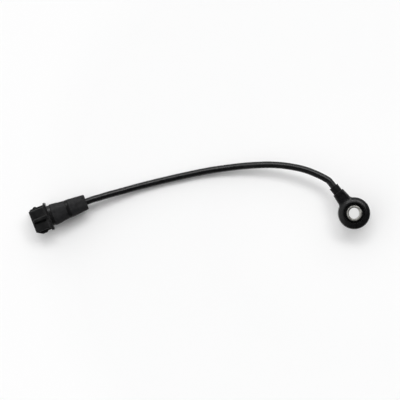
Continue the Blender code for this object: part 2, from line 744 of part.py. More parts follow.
def boot_sections():
    """Outer sections of the boot, with rounded ends and a shallow saddle across it."""
    edge = BOOT_EDGE_ROUND
    middle = EDGE_MIDDLE_PLACE * edge
    rear_inset = EDGE_MIDDLE_INSET * edge
    front_inset = EDGE_MIDDLE_INSET * BOOT_FRONT_INSET
    saddle_end = BOOT_SADDLE_START + BOOT_SADDLE_LENGTH
    stations = [
        (0.0, edge, edge),
        (middle, rear_inset, rear_inset),
        (edge, 0.0, 0.0),
        (BOOT_SADDLE_START, 0.0, 0.0),
        (BOOT_SADDLE_START + BOOT_SADDLE_REAR_RAMP, BOOT_SADDLE_SIDE, BOOT_SADDLE_DEPTH),
        (saddle_end - BOOT_SADDLE_FRONT_RAMP, BOOT_SADDLE_SIDE, BOOT_SADDLE_DEPTH),
        (saddle_end, 0.0, 0.0),
        (BOOT_LENGTH - edge, 0.0, 0.0),
        (BOOT_LENGTH - middle, front_inset, front_inset),
        (BOOT_LENGTH, BOOT_FRONT_INSET, BOOT_FRONT_INSET),
    ]
    sections = []
    for x, side_inset, top_inset in stations:
        width, height = boot_size(x)
        sections.append(oval_section(x, width - 2 * side_inset, height - 2 * top_inset))
    return sections


def add_boot(parent, material):
    """Tapered rear cover: hollow over the shell's spigot, with a seat for the ferrule."""
    boot = add_piece("boot", lofted(boot_sections()), parent, material)

    hollow_start = ferrule_end + SEAT_GAP
    hollow_sections = []
    for x in (hollow_start, BOOT_LENGTH + OVERLAP):
        width, height = boot_size(x)
        hollow_sections.append(oval_section(x, width - 2 * BOOT_WALL, height - 2 * BOOT_WALL))
    hollow = add_piece("boot_hollow", lofted(hollow_sections), parent)
    combine(boot, hollow, "DIFFERENCE")

    seat_profile = [
        (0.0, -OVERLAP),
        (plug_passage_radius, -OVERLAP),
        (plug_passage_radius, BOOT_END_WALL),
        (ferrule_seat_radius, BOOT_END_WALL),
        (ferrule_seat_radius, hollow_start + OVERLAP),
        (0.0, hollow_start + OVERLAP),
    ]
    seat = add_piece("ferrule_seat", turned(seat_profile, SMALL_STEPS, along_x=True), parent)
    combine(boot, seat, "DIFFERENCE")

    mark_floor = boot_size(GATE_MARK_INSET)[1] / 2 - GATE_MARK_SINK
    mark_profile = [
        (0.0, mark_floor),
        (GATE_MARK_DIAMETER / 2, mark_floor),
        (GATE_MARK_DIAMETER / 2, boot_front_height),
        (0.0, boot_front_height),
    ]
    mark = add_piece("gate_mark", turned(mark_profile, SMALL_STEPS), parent)
    mark.location = (GATE_MARK_INSET, -GATE_MARK_SIDE, 0.0)
    combine(boot, mark, "DIFFERENCE")


def add_crimp_ferrule(parent, material):
    """Rolled ferrule that gathers the cores and the screen inside the boot."""
    rear_lip = ferrule_start + FERRULE_LIP_LENGTH
    front_lip = ferrule_end - FERRULE_LIP_LENGTH
    profile = [
        (plug_passage_radius, ferrule_start),
        (ferrule_lip_radius, ferrule_start),
        (ferrule_lip_radius, rear_lip),
        (ferrule_radius, rear_lip + FERRULE_LIP_RAMP),
        (ferrule_radius, front_lip - FERRULE_LIP_RAMP),
        (ferrule_lip_radius, front_lip),
        (ferrule_lip_radius, ferrule_end),
        (plug_passage_radius, ferrule_end),
    ]
    add_piece("crimp_ferrule", turned(profile, SMALL_STEPS, along_x=True), parent, material)


def terminal_y(number):
    """Place of a terminal across the plug, counted from the -Y side."""
    return (number - (terminal_count - 1) / 2) * TERMINAL_PITCH


def add_plug_cores(parent, materials):
    """Three cores that leave the cable side by side and fan out to the terminals."""
    fan_start = ferrule_end + SEAT_GAP
    for number, (name, finish) in enumerate(PLUG_CORES):
        angle = FIRST_CORE_ANGLE - math.tau * number / terminal_count
        near_y = plug_bundle_radius * math.cos(angle)
        near_z = plug_bundle_radius * math.sin(angle)
        far_y = terminal_y(number)
        stops = [
            (0.0, near_y, near_z),
            (fan_start, near_y, near_z),
            (spigot_rear, far_y, 0.0),
            (seal_end, far_y, 0.0),
        ]
        forward = (1.0, 0.0, 0.0)
        points = smooth_route(stops, forward, forward, CORE_POINT_SPACING)
        add_wire(name, points, CORE_DIAMETER, CORE_SIDES_RESOLUTION, parent, materials[finish])


def add_terminal(number, parent, material):
    """A blade with a pointed tip and a square crimp barrel behind the web."""
    tip_width = BLADE_TIP_SHARE * BLADE_WIDTH
    tip_thickness = BLADE_TIP_SHARE * BLADE_THICKNESS
    tip_corner = BLADE_TIP_SHARE * BLADE_CORNER
    sections = [
        (crimp_start, CRIMP_WIDTH, CRIMP_WIDTH, CRIMP_CORNER, CRIMP_CORNER),
        (crimp_end - CRIMP_SHOULDER, CRIMP_WIDTH, CRIMP_WIDTH, CRIMP_CORNER, CRIMP_CORNER),
        (crimp_end, BLADE_WIDTH, BLADE_THICKNESS, BLADE_CORNER, BLADE_CORNER),
        (blade_tip - BLADE_TIP_LENGTH, BLADE_WIDTH, BLADE_THICKNESS, BLADE_CORNER, BLADE_CORNER),
        (blade_tip, tip_width, tip_thickness, tip_corner, tip_corner),
    ]
    bm = lofted(sections, corner_steps=FINE_CORNER_STEPS)
    terminal = add_piece(f"terminal_{number + 1}", bm, parent, material)
    terminal.location.y = terminal_y(number)


def cut_terminal_slots(piece, start, end, parent):
    """Cut one clear slot for each blade through a wall."""
    width = BLADE_WIDTH + 2 * SEAT_GAP
    thickness = BLADE_THICKNESS + 2 * SEAT_GAP
    for number in range(terminal_count):
        y = terminal_y(number)
        low = (start - OVERLAP, y - width / 2, -thickness / 2)
        high = (end + OVERLAP, y + width / 2, thickness / 2)
        slot = add_piece(f"{piece.name}_slot_{number + 1}", block(low, high), parent)
        combine(piece, slot, "DIFFERENCE")


def add_wire_seal(parent, material):
    """Rubber mat in the shell's pocket, with one hole for each core."""
    sections = [
        (seal_start, seal_width, SEAL_HEIGHT, SEAL_CORNER, SEAL_CORNER),
        (seal_end, seal_width, SEAL_HEIGHT, SEAL_CORNER, SEAL_CORNER),
    ]
    seal = add_piece("wire_seal", lofted(sections), parent, material)
    hole_profile = [
        (0.0, seal_start - OVERLAP),
        (seal_hole_radius, seal_start - OVERLAP),
        (seal_hole_radius, seal_end + OVERLAP),
        (0.0, seal_end + OVERLAP),
    ]
    for number in range(terminal_count):
        bm = turned(hole_profile, SMALL_STEPS, along_x=True)
        hole = add_piece(f"seal_hole_{number + 1}", bm, parent)
        hole.location.y = terminal_y(number)
        combine(seal, hole, "DIFFERENCE")


def add_terminal_lock(parent, material):
    """Plate on the socket floor that the blades pass through."""
    width = SOCKET_WIDTH - 2 * SEAT_GAP
    height = SOCKET_HEIGHT - 2 * SEAT_GAP
    corner = SOCKET_CORNER - SEAT_GAP
    lock_end = lock_start + LOCK_THICKNESS
    sections = [
        (lock_start, width, height, corner, corner),
        (lock_end, width, height, corner, corner),
    ]
    lock = add_piece("terminal_lock", lofted(sections), parent, material)
    cut_terminal_slots(lock, lock_start, lock_end, parent)


def shell_sections():
    """Outer sections of the shell: spigot, neck, flange and shroud."""
    spigot = oval_section(0.0, spigot_width, spigot_height)[1:]
    neck = oval_section(0.0, shell_neck_width, shell_neck_height)[1:]
    flange = (plug_flange_width, plug_flange_height, PLUG_FLANGE_CORNER, PLUG_FLANGE_CORNER)
    bevel = PLUG_FLANGE_CHAMFER
    thin_corner = PLUG_FLANGE_CORNER - bevel
    thin = (plug_flange_width - 2 * bevel, plug_flange_height - 2 * bevel, thin_corner, thin_corner)
    shroud = (shroud_width, shroud_height, shroud_corner, shroud_corner)
    lip = SHROUD_MOUTH_ROUND
    lip_corner = shroud_corner - lip
    mouth_rim = (shroud_width - 2 * lip, shroud_height - 2 * lip, lip_corner, lip_corner)
    return [
        (spigot_rear, *spigot),
        (shell_neck_start, *spigot),
        (shell_neck_start, *neck),
        (plug_flange_start, *neck),
        (plug_flange_start, *thin),
        (plug_flange_start + bevel, *flange),
        (plug_flange_end - bevel, *flange),
        (plug_flange_end, *thin),
        (plug_flange_end, *shroud),
        (mouth - lip, *shroud),
        (mouth, *mouth_rim),
    ]


def add_side_rail(side, parent):
    """Side rail of the shroud with its latching lug; one side ramps up from the mouth."""
    inside = side * (shroud_width / 2 - OVERLAP)
    wall = side * shroud_width / 2
    rail = side * (shroud_width / 2 + RAIL_DEPTH)
    lug = side * (shroud_width / 2 + RAIL_DEPTH + LUG_DEPTH)
    rear = plug_flange_end - OVERLAP
    lug_front = mouth - LUG_FRONT
    lug_rear = lug_front - LUG_LENGTH
    front = mouth - SHROUD_MOUTH_ROUND
    outline = [(rear, inside), (rear, rail), (lug_rear, rail), (lug_rear + LUG_DEPTH, lug), (lug_front, lug)]
    if side < 0:
        outline += [(lug_front + LUG_DEPTH, rail), (front - RAIL_DEPTH, rail)]
    outline += [(front, wall + side * SEAT_GAP), (front, inside)]
    points = [(x, y, -RAIL_HEIGHT / 2) for x, y in outline]
    bm = extruded(points, (0.0, 0.0, RAIL_HEIGHT))
    return add_piece(f"side_rail_{'left' if side > 0 else 'right'}", bm, parent)


def add_connector_shell(parent, material):
    """Plug body: spigot, flange, open shroud, side rails and the key rib on top."""
    shell = add_piece("connector_shell", lofted(shell_sections()), parent, material)
    for side in (-1, 1):
        combine(shell, add_side_rail(side, parent), "UNION")

    key_top = shroud_height / 2 + KEY_HEIGHT
    key_base = shroud_height / 2 - OVERLAP
    key_rear = plug_flange_end - OVERLAP
    key_front = mouth - KEY_SETBACK
    key_low_y = KEY_OFFSET - KEY_WIDTH / 2
    key_outline = [
        (key_rear, key_low_y, key_base),
        (key_front, key_low_y, key_base),
        (key_front, key_low_y, key_top - KEY_HEIGHT / 2),
        (key_front - KEY_HEIGHT / 2, key_low_y, key_top),
        (key_rear, key_low_y, key_top),
    ]
    key = add_piece("key_rib", extruded(key_outline, (0.0, KEY_WIDTH, 0.0)), parent)
    combine(shell, key, "UNION")

    socket_sections = [
        (socket_floor, SOCKET_WIDTH, SOCKET_HEIGHT, SOCKET_CORNER, SOCKET_CORNER),
        (mouth + OVERLAP, SOCKET_WIDTH, SOCKET_HEIGHT, SOCKET_CORNER, SOCKET_CORNER),
    ]
    socket = add_piece("socket", lofted(socket_sections), parent)
    combine(shell, socket, "DIFFERENCE")

    pocket_corner = SEAL_CORNER + SEAT_GAP
    pocket_sections = [
        (spigot_rear - OVERLAP, pocket_width, pocket_height, pocket_corner, pocket_corner),
        (pocket_floor, pocket_width, pocket_height, pocket_corner, pocket_corner),
    ]
    pocket = add_piece("seal_pocket", lofted(pocket_sections), parent)
    combine(shell, pocket, "DIFFERENCE")
    cut_terminal_slots(shell, pocket_floor, socket_floor, parent)


def add_plug(parent, materials):
    """Every piece of the plug, from the cable entry to the mouth."""
    add_boot(parent, materials["boot_plastic"])
    add_crimp_ferrule(parent, materials["plated_steel"])
    add_plug_cores(parent, materials)
    add_wire_seal(parent, materials["seal_rubber"])
    add_connector_shell(parent, materials["plug_nylon"])
    add_terminal_lock(parent, materials["lock_plastic"])
    for number in range(terminal_count):
        add_terminal(number, parent, materials["tinned_brass"])


def main():
    clear_scene()
    materials = make_materials()
    head_frame = add_frame("head_frame", (bore_x, 0.0, 0.0))
    plug_place = (bore_x + PLUG_ENTRY_X, PLUG_ENTRY_Y, plug_axis_height)
    plug_frame = add_frame("plug_frame", plug_place, PLUG_HEADING)
    add_head(head_frame, materials)
    add_cable(head_frame, materials["cable_jacket"])
    add_plug(plug_frame, materials)


main()
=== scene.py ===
"""Dress the engine knock sensor: moulded head, bolt sleeve, cable and three-way plug.

Every length is in metres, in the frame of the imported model: +Z runs up the bolt bore,
+X runs out along the cable neck, and the steel contact face lies on the floor at Z = 0.
"""

import json
import math
from typing import NamedTuple

import bmesh
import bpy
from bpy.props import FloatProperty, FloatVectorProperty, PointerProperty
from mathutils import Matrix, Vector
from mathutils.geometry import interpolate_bezier


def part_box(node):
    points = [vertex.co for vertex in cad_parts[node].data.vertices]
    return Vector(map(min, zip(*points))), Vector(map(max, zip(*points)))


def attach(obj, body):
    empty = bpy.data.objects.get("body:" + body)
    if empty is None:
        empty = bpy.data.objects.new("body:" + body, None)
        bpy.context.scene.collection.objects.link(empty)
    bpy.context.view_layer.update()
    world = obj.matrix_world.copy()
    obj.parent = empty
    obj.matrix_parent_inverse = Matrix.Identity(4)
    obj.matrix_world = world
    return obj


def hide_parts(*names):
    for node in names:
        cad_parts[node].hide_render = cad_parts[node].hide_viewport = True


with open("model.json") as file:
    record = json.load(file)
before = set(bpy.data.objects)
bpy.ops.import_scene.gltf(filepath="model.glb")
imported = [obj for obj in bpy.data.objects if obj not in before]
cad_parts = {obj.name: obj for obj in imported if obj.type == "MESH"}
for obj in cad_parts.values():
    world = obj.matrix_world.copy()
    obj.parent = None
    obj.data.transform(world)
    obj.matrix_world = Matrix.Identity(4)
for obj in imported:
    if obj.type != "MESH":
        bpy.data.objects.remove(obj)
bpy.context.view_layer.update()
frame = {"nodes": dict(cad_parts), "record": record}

bl_info = {
    "name": "Knock Sensor Dressing",
    "version": (1, 0, 0),
    "blender": (4, 5, 0),
    "location": "3D View > Sidebar > Knock Sensor",
    "description": "Fine pieces, finishes and a pale stage for a packed engine knock sensor",
    "category": "Object",
}

# Fineness of the meshes
TURN_STEPS = 144
ARC_STEPS = 10
SIDE_STEPS = 8
EDGE_STEPS = 5
ROLL_STEPS = 24
ROLL_HALVINGS = 24
RING_SPACING = 0.0008
FINE_SPACING = 0.0004
WIDE_SPACING = 0.0010
TURNED_SPACING = 0.0005
FILLET_STEPS = 12
INNER_ROLL_STEPS = 16
BEAD_STEPS = 14
GATE_SIDES = 32
BEVEL_SEGMENTS = 3
CABLE_SIDES = 10
WELD_DISTANCE = 1e-7
SMOOTH_ANGLE = math.radians(32)
BEVEL_ANGLE = math.radians(30)

# How far bodies that are joined or cut reach into each other, and the gaps between pieces
HIDDEN_LAP = 0.0005
SNUG_GAP = 0.00002
SEAT_GAP = 0.0003
CABLE_PLAY = 0.00005

# Parting ridge that a two-part mould leaves round a piece
SEAM_HEIGHT = 0.00005
SEAM_HALF_WIDTH = 0.00012

# The sky: levels where 1 is white, headings and heights in degrees, and each soft edge as the
# sine or cosine where the light starts and where it is full
SOFTBOX_HEADING = -50.0
BRIGHT_SIDE_HEADING = 5.0
SOFTBOX_LEVEL = 7.8
SOFTBOX_LOW = 42.0
SOFTBOX_HIGH = 55.0
BRIGHT_SIDE_LEVEL = 1.30
DIM_SIDE_LEVEL = 0.12
CEILING_LEVEL = 0.05
SOFTBOX_EDGE = 0.03
SOFTBOX_SIDES = (0.62, 0.80)
BRIGHT_SIDE_TURN = (-0.5, 0.5)
BRIGHT_SIDE_TOP = (0.97, 0.84)
DIM_SIDE_TOP = (0.97, 0.70)

# Painted light on the floor over its shade: how much of it the camera sees as plain white, from
# where to where, counted from the bore, and from which share to which; it fades out past the head
# and comes back past the plug
PAINTED_FLOOR_LIGHT = ((0.055, 0.115, 0.34, 0.03), (0.205, 0.260, 0.0, 0.5))
# Painted light on the floor inside the bore, where it lies in the sleeve's shade
PAINTED_BORE_LIGHT = 0.74

# Share of the rim's fall that is a straight slope; the rest rounds over into the wall
RIM_SLOPE = 0.2

# The middle of a noise's range that is spread over a patch's whole range
NOISE_MIDDLE = (0.34, 0.66)

# How far a moulding's mottle goes below and above its colour, how wide handling rubs it,
# how sharp an edge has to be before it is rubbed, and how far its sheen drifts
MOTTLE_SHADES = (0.75, 1.3)
HANDLING_PATCH = 0.003
RUBBED_EDGE = (0.53, 0.60)
SHEEN_DRIFT = (-0.05, 0.07)
SHEEN_PATCH = 1.7

# How far a metal's polish drifts, and over how much of a patch of its shade
POLISH_DRIFT = (-0.06, 0.08)
POLISH_PATCH = 0.6

# The boot's band: painted shade as a share of its colour, the roughness of its polish and its soft
# edges
BAND_PAINTED_SHADE = 0.42
BAND_ROUGHNESS = 0.22
BAND_EDGES = (1.25, 0.55)

# Sockets of a colour mix
MIX_SHARE = 0
MIX_FIRST = 6
MIX_SECOND = 7
MIX_RESULT = 2

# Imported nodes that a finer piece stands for
REPLACED = ("sleeve", "housing", "neck_grommet", "cable", "boot", "connector_shell")

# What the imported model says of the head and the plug
sleeve_low, sleeve_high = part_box("sleeve")
head_low, head_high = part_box("housing")
grommet_low, grommet_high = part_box("neck_grommet")
bore_x = (sleeve_low.x + sleeve_high.x) / 2
sleeve_top = sleeve_high.z
flange_radius = sleeve_high.y
head_radius = head_high.y
head_foot = head_low.z
rim_top = head_high.z
neck_height = (grommet_low.z + grommet_high.z) / 2
neck_end = head_high.x - bore_x
collar_end = grommet_high.x - bore_x
bead_radius = grommet_high.y
shell_low, shell_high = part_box("connector_shell")
plug_height = (shell_low.z + shell_high.z) / 2

# Where the plug lies, from the bore axis to its cable entry
PLUG_ENTRY = (0.1301, 0.1549)
PLUG_HEADING = math.radians(73.6)

# Places along the plug, from its cable entry, and lengths of the shell's short parts
BOOT_HOLLOW = 0.0078
POCKET_FLOOR = 0.0279
SOCKET_FLOOR = 0.0315
SOCKET_MOUTH = 0.0433
SPIGOT_LENGTH = 0.0053
NECK_LENGTH = 0.0019
FLANGE_THICKNESS = 0.0018

# The cable's way from the grommet to the boot, from the bore axis
CABLE_STOPS = (
    (0.0352, 0.0018, 0.0118),
    (0.0405, 0.0044, 0.0117),
    (0.0475, 0.0086, 0.0113),
    (0.0582, 0.0175, 0.0102),
    (0.0674, 0.0276, 0.0085),
    (0.0741, 0.0368, 0.0070),
    (0.0803, 0.0462, 0.0055),
    (0.0850, 0.0541, 0.0043),
    (0.0917, 0.0660, 0.0032),
    (0.1019, 0.0868, 0.00265),
    (0.1115, 0.1080, 0.0028),
    (0.1162, 0.1190, 0.0034),
    (0.1206, 0.1298, 0.0048),
    (0.1243, 0.1388, 0.0063),
    (0.1274, 0.1470, 0.0074),
)
CABLE_END_STRAIGHT = 0.0040
CABLE_POINT_SPACING = 0.0010
ROUTE_STEPS = 24
ROUTE_HANDLE_SHARE = 1 / 3

head_frame = Matrix.Translation((bore_x, 0.0, 0.0))
plug_place = Matrix.Translation((bore_x + PLUG_ENTRY[0], PLUG_ENTRY[1], plug_height))
plug_frame = plug_place @ Matrix.Rotation(PLUG_HEADING, 4, "Z")


def linear(code):
    """The linear colour of an sRGB hex code."""
    shades = [int(code[start : start + 2], 16) / 255 for start in (1, 3, 5)]
    return tuple(s / 12.92 if s <= 0.04045 else ((s + 0.055) / 1.055) ** 2.4 for s in shades)


def length(name, description, default):
    """A length in metres that a user can change."""
    shown = {"min": 0.0, "unit": "LENGTH", "precision": 5}
    return FloatProperty(name=name, description=description, default=default, **shown)


def colour(name, description, code):
    """A colour that a user can change, from its sRGB hex code."""
    shown = {"min": 0.0, "max": 1.0, "subtype": "COLOR"}
    return FloatVectorProperty(name=name, description=description, default=linear(code), **shown)


class HeadSizes(bpy.types.PropertyGroup):
    bore: length("Bolt bore", "Diameter of the bore for the M8 bolt", 0.0084)
    sleeve: length("Sleeve", "Outer diameter of the steel sleeve", 0.0114)
    flange: length("Contact flange", "Thickness of the flange at the sleeve's foot", 0.0020)
    sleeve_edge: length("Sleeve edge", "Rounding of the sleeve's turned edges", 0.0002)
    sleeve_chamfer: length("Bore chamfer", "Chamfer where the bolt enters the bore", 0.0006)
    rim_width: length("Rim roll width", "Width of the rim's outer roll", 0.0040)
    rim_fall: length("Rim roll fall", "Height of the rim's outer roll", 0.0027)
    rim_inner: length("Inner roll", "Width of the rim's inner roll", 0.0004)
    rim_height: length("Rim height", "Height of the rim above the sunk centre", 0.0019)
    roof: length("Roof", "Thickness of the moulding over the stack", 0.0010)
    wall: length("Wall", "Thickness of the moulding round the stack", 0.0027)
    foot_chamfer: length("Foot chamfer", "Chamfer round the foot of the moulding", 0.0006)
    neck_width: length("Neck width", "Width of the cable neck at its end", 0.0086)
    neck_depth: length("Neck height", "Height of the cable neck at its end", 0.0090)
    neck_flare: length("Neck flare", "Width that the neck gains toward the head", 0.0018)
    neck_rise: length("Neck rise", "Height that the neck gains toward the head", 0.0008)
    neck_round: length("Neck round", "Rounding of the neck's long edges", 0.0014)
    neck_fillet: length("Neck fillet", "Fillet between the neck and the head's wall", 0.0016)
    neck_top_fillet: length("Top fillet", "Fillet between the neck's top and the rim", 0.0004)
    channel: length("Grommet channel", "Depth of the channel that holds the grommet", 0.0060)


class CableSizes(bpy.types.PropertyGroup):
    diameter: length("Cable", "Outer diameter of the cable", 0.0051)
    spigot: length("Grommet spigot", "Diameter of the grommet inside the neck", 0.0058)
    collar: length("Grommet collar", "Diameter of the collar outside the neck", 0.0071)
    bead: length("Bead length", "Length of the bead at the collar's cable end", 0.0009)
    entry: length("Cable entry", "Length of cable that each end covers", 0.0012)
    core_way: length("Core passage", "Diameter of the passage for the cores", 0.0035)


class PlugSizes(bpy.types.PropertyGroup):
    boot: length("Boot length", "Length of the tapered boot", 0.0273)
    boot_width: length("Boot width", "Width of the boot where it meets the shell", 0.01657)
    boot_depth: length("Boot height", "Height of the boot where it meets the shell", 0.01324)
    width_taper: length("Width taper", "Width that the boot loses toward the cable", 0.0050)
    depth_taper: length("Height taper", "Height that the boot loses toward the cable", 0.0038)
    boot_wall: length("Boot wall", "Wall of the boot", 0.00155)
    saddle: length("Saddle start", "Start of the shallow band across the boot", 0.0128)
    saddle_length: length("Saddle length", "Length of the shallow band", 0.0034)
    saddle_depth: length("Saddle depth", "Depth of the band at the top", 0.0006)
    saddle_side: length("Side dip", "How far the boot's sides draw in from the band on", 0.0003)
    side_length: length("Side dip length", "Length over which the sides draw in", 0.0104)
    gate_mark: length("Gate mark", "Diameter of the moulding gate's mark", 0.0014)
    flange_width: length("Flange width", "Width of the shell's flange", 0.0216)
    flange_depth: length("Flange height", "Height of the shell's flange", 0.0158)
    shroud_width: length("Shroud width", "Outer width of the socket", 0.0168)
    shroud_depth: length("Shroud height", "Outer height of the socket", 0.0132)
    shroud_wall: length("Shroud wall", "Wall of the socket", 0.0014)
    rail: length("Side rail", "Height of the side rails", 0.0050)
    rail_depth: length("Rail depth", "How far the side rails stand out", 0.0013)
    lug_depth: length("Lug depth", "How far the latching lugs stand out of the rails", 0.0009)
    key: length("Key width", "Width of the key rib", 0.0025)
    key_edge: length("Key edge", "How far the key rib reaches past the plug's middle", 0.0009)
    blade_pitch: length("Blade pitch", "Distance between two blades", 0.0034)


class FinishColours(bpy.types.PropertyGroup):
    nylon: colour("Head nylon", "Glass-filled nylon of the head", "#0d0d0e")
    shell: colour("Shell plastic", "Polyester of the plug's shell", "#0b0b0c")
    boot: colour("Boot plastic", "Soft plastic of the plug's boot", "#1f1f20")
    grommet: colour("Grommet rubber", "Rubber of the neck's grommet", "#0b0b0c")
    jacket: colour("Cable jacket", "Jacket of the cable", "#080809")
    zinc: colour("Zinc plating", "Plating of the steel sleeve", "#b9b8b3")
    floor: colour("Floor", "Pale floor of the stage", "#f2f2f2")


class StageSizes(bpy.types.PropertyGroup):
    camera_height: length("Camera height", "Height of the camera over the floor", 3.0)
    view_width: length("View width", "Width of the view at the object", 0.302)
    floor_width: length("Floor width", "Width of the floor", 16.0)


class SensorSettings(bpy.types.PropertyGroup):
    head: PointerProperty(type=HeadSizes)
    cable: PointerProperty(type=CableSizes)
    plug: PointerProperty(type=PlugSizes)
    colours: PointerProperty(type=FinishColours)
    stage: PointerProperty(type=StageSizes)


def settings():
    """The sizes and colours of the open scene."""
    return bpy.context.scene.knock_sensor


# Outlines and skins
def mirrored(quadrant):
    """A closed outline from its first quadrant, which runs from the +Y side to the top."""
    top_left = [(-y, z) for y, z in reversed(quadrant)]
    low_left = [(-y, -z) for y, z in quadrant]
    low_right = [(y, -z) for y, z in reversed(quadrant)]
    return quadrant + top_left[1:] + low_left[1:] + low_right[1:-1]


def rounded(width, height, corner_y, corner_z, seam=0.0):
    """Outline of a rectangle with elliptical corners and a parting ridge at mid height."""
    flat_y = width / 2 - corner_y
    flat_z = height / 2 - corner_z
    side = flat_z - SEAM_HALF_WIDTH
    quadrant = [(width / 2 + seam, 0.0)]
    for step in range(SIDE_STEPS + 1):
        quadrant.append((width / 2, SEAM_HALF_WIDTH + side * step / SIDE_STEPS))
    for step in range(1, ARC_STEPS + 1):
        angle = math.pi / 2 * step / ARC_STEPS
        quadrant.append((flat_y + corner_y * math.cos(angle), flat_z + corner_z * math.sin(angle)))
    for step in range(1, SIDE_STEPS + 1):
        quadrant.append((flat_y * (1 - step / SIDE_STEPS), height / 2))
    return mirrored(quadrant)


def boxed(width, height, corner, inset=0.0, seam=0.0):
    """Outline of a rounded rectangle drawn in by an inset on each side, or out if it is below 0."""
    return rounded(width - 2 * inset, height - 2 * inset, corner - inset, corner - inset, seam)


def circle(radius):
    """Round outline with as many points as a rounded rectangle."""
    steps = 2 * SIDE_STEPS + ARC_STEPS + 1
    angles = [math.pi / 2 * step / steps for step in range(steps + 1)]
    return mirrored([(radius * math.cos(angle), radius * math.sin(angle)) for angle in angles])


def oval(width, height, seam=0.0):
    """Outline whose corners take up most of its sides, so that its faces crown."""
    corner_share = 0.78
    return rounded(width, height, corner_share * width / 2, corner_share * height / 2, seam)


def ring(x, outline, height=0.0):
    """An outline set across the X axis at a station."""
    return [(x, y, height + z) for y, z in outline]


def skin(rings, loop=False):
    """Quads between rings of points; the ends are capped, or joined for a loop."""
    bm = bmesh.new()
    rows = [[bm.verts.new(point) for point in points] for points in rings]
    pairs = list(zip(rows, rows[1:]))
    if loop:
        pairs.append((rows[-1], rows[0]))
    else:
        bm.faces.new(rows[0])
        bm.faces.new(rows[-1])
    for near, far in pairs:
        for corners in zip(near, near[1:] + near[:1], far[1:] + far[:1], far):
            bm.faces.new(corners)
    return bm


def turned(profile, along_x=False, height=0.0):
    """Turn a closed outline of (radius, station) points once round Z, or round X at a height."""
    rings = []
    for step in range(TURN_STEPS):
        angle = math.tau * step / TURN_STEPS
        across = math.cos(angle)
        up = math.sin(angle)
        if along_x:
            rings.append([(x, radius * across, height + radius * up) for radius, x in profile])
        else:
            rings.append([(radius * across, radius * up, z) for radius, z in profile])
    return skin(rings, loop=True)


def arc(centre, radii, start, end, steps=EDGE_STEPS):
    """Points on an ellipse between two angles in degrees, ends included."""
    points = []
    for step in range(steps + 1):
        angle = math.radians(start + (end - start) * step / steps)
        across = centre[0] + radii[0] * math.cos(angle)
        points.append((across, centre[1] + radii[1] * math.sin(angle)))
    return points


def edge_round(end, radius, inward):
    """Stations and insets of a rounded edge, from the end face inward."""
    steps = [math.pi / 2 * step / EDGE_STEPS for step in range(EDGE_STEPS + 1)]
    return [(end + inward * radius * (1 - math.cos(a)), radius * (1 - math.sin(a))) for a in steps]


def stations(start, end, spacing=RING_SPACING):
    """Evenly spaced places between two ends, ends left out."""
    count = max(1, round((end - start) / spacing))
    return [start + (end - start) * step / count for step in range(1, count)]


def smooth_route(stops, first_direction, last_direction, spacing):
    """Points about a set distance apart on one smooth curve through all the stops."""
    stops = [Vector(stop) for stop in stops]
    directions = [Vector(first_direction)]
    for before, here, after in zip(stops, stops[1:], stops[2:]):
        back = here - before
        ahead = after - here
        directions.append((back / back.length_squared + ahead / ahead.length_squared).normalized())
    directions.append(Vector(last_direction))
    curve = [stops[0]]
    for index in range(len(stops) - 1):
        near_stop = stops[index]
        far_stop = stops[index + 1]
        reach = (far_stop - near_stop).length * ROUTE_HANDLE_SHARE
        near_handle = near_stop + directions[index] * reach
        far_handle = far_stop - directions[index + 1] * reach
        curve += interpolate_bezier(near_stop, near_handle, far_handle, far_stop, ROUTE_STEPS)[1:]
    lengths = [0.0]
    for before, after in zip(curve, curve[1:]):
        lengths.append(lengths[-1] + (after - before).length)
    count = round(lengths[-1] / spacing)
    points = []
    place = 0
    for number in range(count + 1):
        target = lengths[-1] * number / count
        while place < len(lengths) - 2 and lengths[place + 1] < target:
            place += 1
        share = (target - lengths[place]) / (lengths[place + 1] - lengths[place])
        points.append(curve[place].lerp(curve[place + 1], min(share, 1.0)))
    return points


# Pieces
def add_body(name, bm, place):
    """A mesh object from a bmesh, placed in the head's or the plug's frame."""
    bmesh.ops.remove_doubles(bm, verts=bm.verts, dist=WELD_DISTANCE)
    bmesh.ops.recalc_face_normals(bm, faces=bm.faces)
    mesh = bpy.data.meshes.new(name)
    bm.to_mesh(mesh)
    bm.free()
    body = bpy.data.objects.new(name, mesh)
    body.matrix_world = place
    bpy.context.scene.collection.objects.link(body)
    return body


def combine(piece, tool, operation):
    """Join a tool body to a piece, or cut it from the piece, and remove the tool."""
    modifier = piece.modifiers.new(tool.name, "BOOLEAN")
    modifier.operation = operation
    modifier.solver = "EXACT"
    modifier.object = tool
    bpy.context.view_layer.update()
    evaluated = piece.evaluated_get(bpy.context.evaluated_depsgraph_get())
    mesh = bpy.data.meshes.new_from_object(evaluated)
    piece.modifiers.clear()
    piece.data = mesh
    bpy.data.objects.remove(tool, do_unlink=True)


def bevelled_prism(name, outline, direction, bevel, place):
    """A prism on a flat outline of 3-D points, with its edges rounded."""
    bm = bmesh.new()
    face = bm.faces.new([bm.verts.new(point) for point in outline])
    grown = bmesh.ops.extrude_face_region(bm, geom=[face])["geom"]
    moved = [item for item in grown if isinstance(item, bmesh.types.BMVert)]
    bmesh.ops.translate(bm, verts=moved, vec=direction)
    bmesh.ops.recalc_face_normals(bm, faces=bm.faces)
    sharp = [edge for edge in bm.edges if edge.calc_face_angle(0.0) > BEVEL_ANGLE]
    shape = {"segments": BEVEL_SEGMENTS, "profile": 0.5, "affect": "EDGES", "clamp_overlap": True}
    bmesh.ops.bevel(bm, geom=sharp, offset=bevel, **shape)
    return add_body(name, bm, place)


def finish_piece(piece, slot, *nodes):
    """Smooth a piece, give it its slot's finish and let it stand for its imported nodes."""
    if piece.type == "MESH":
        piece.data.shade_smooth()
        piece.data.set_sharp_from_angle(angle=SMOOTH_ANGLE)
        piece.data.transform(piece.matrix_world)
        piece.matrix_world = Matrix.Identity(4)
    piece.data.materials.clear()
    piece.data.materials.append(finish_of(slot))
    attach(piece, "root")
    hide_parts(*nodes)
    return piece


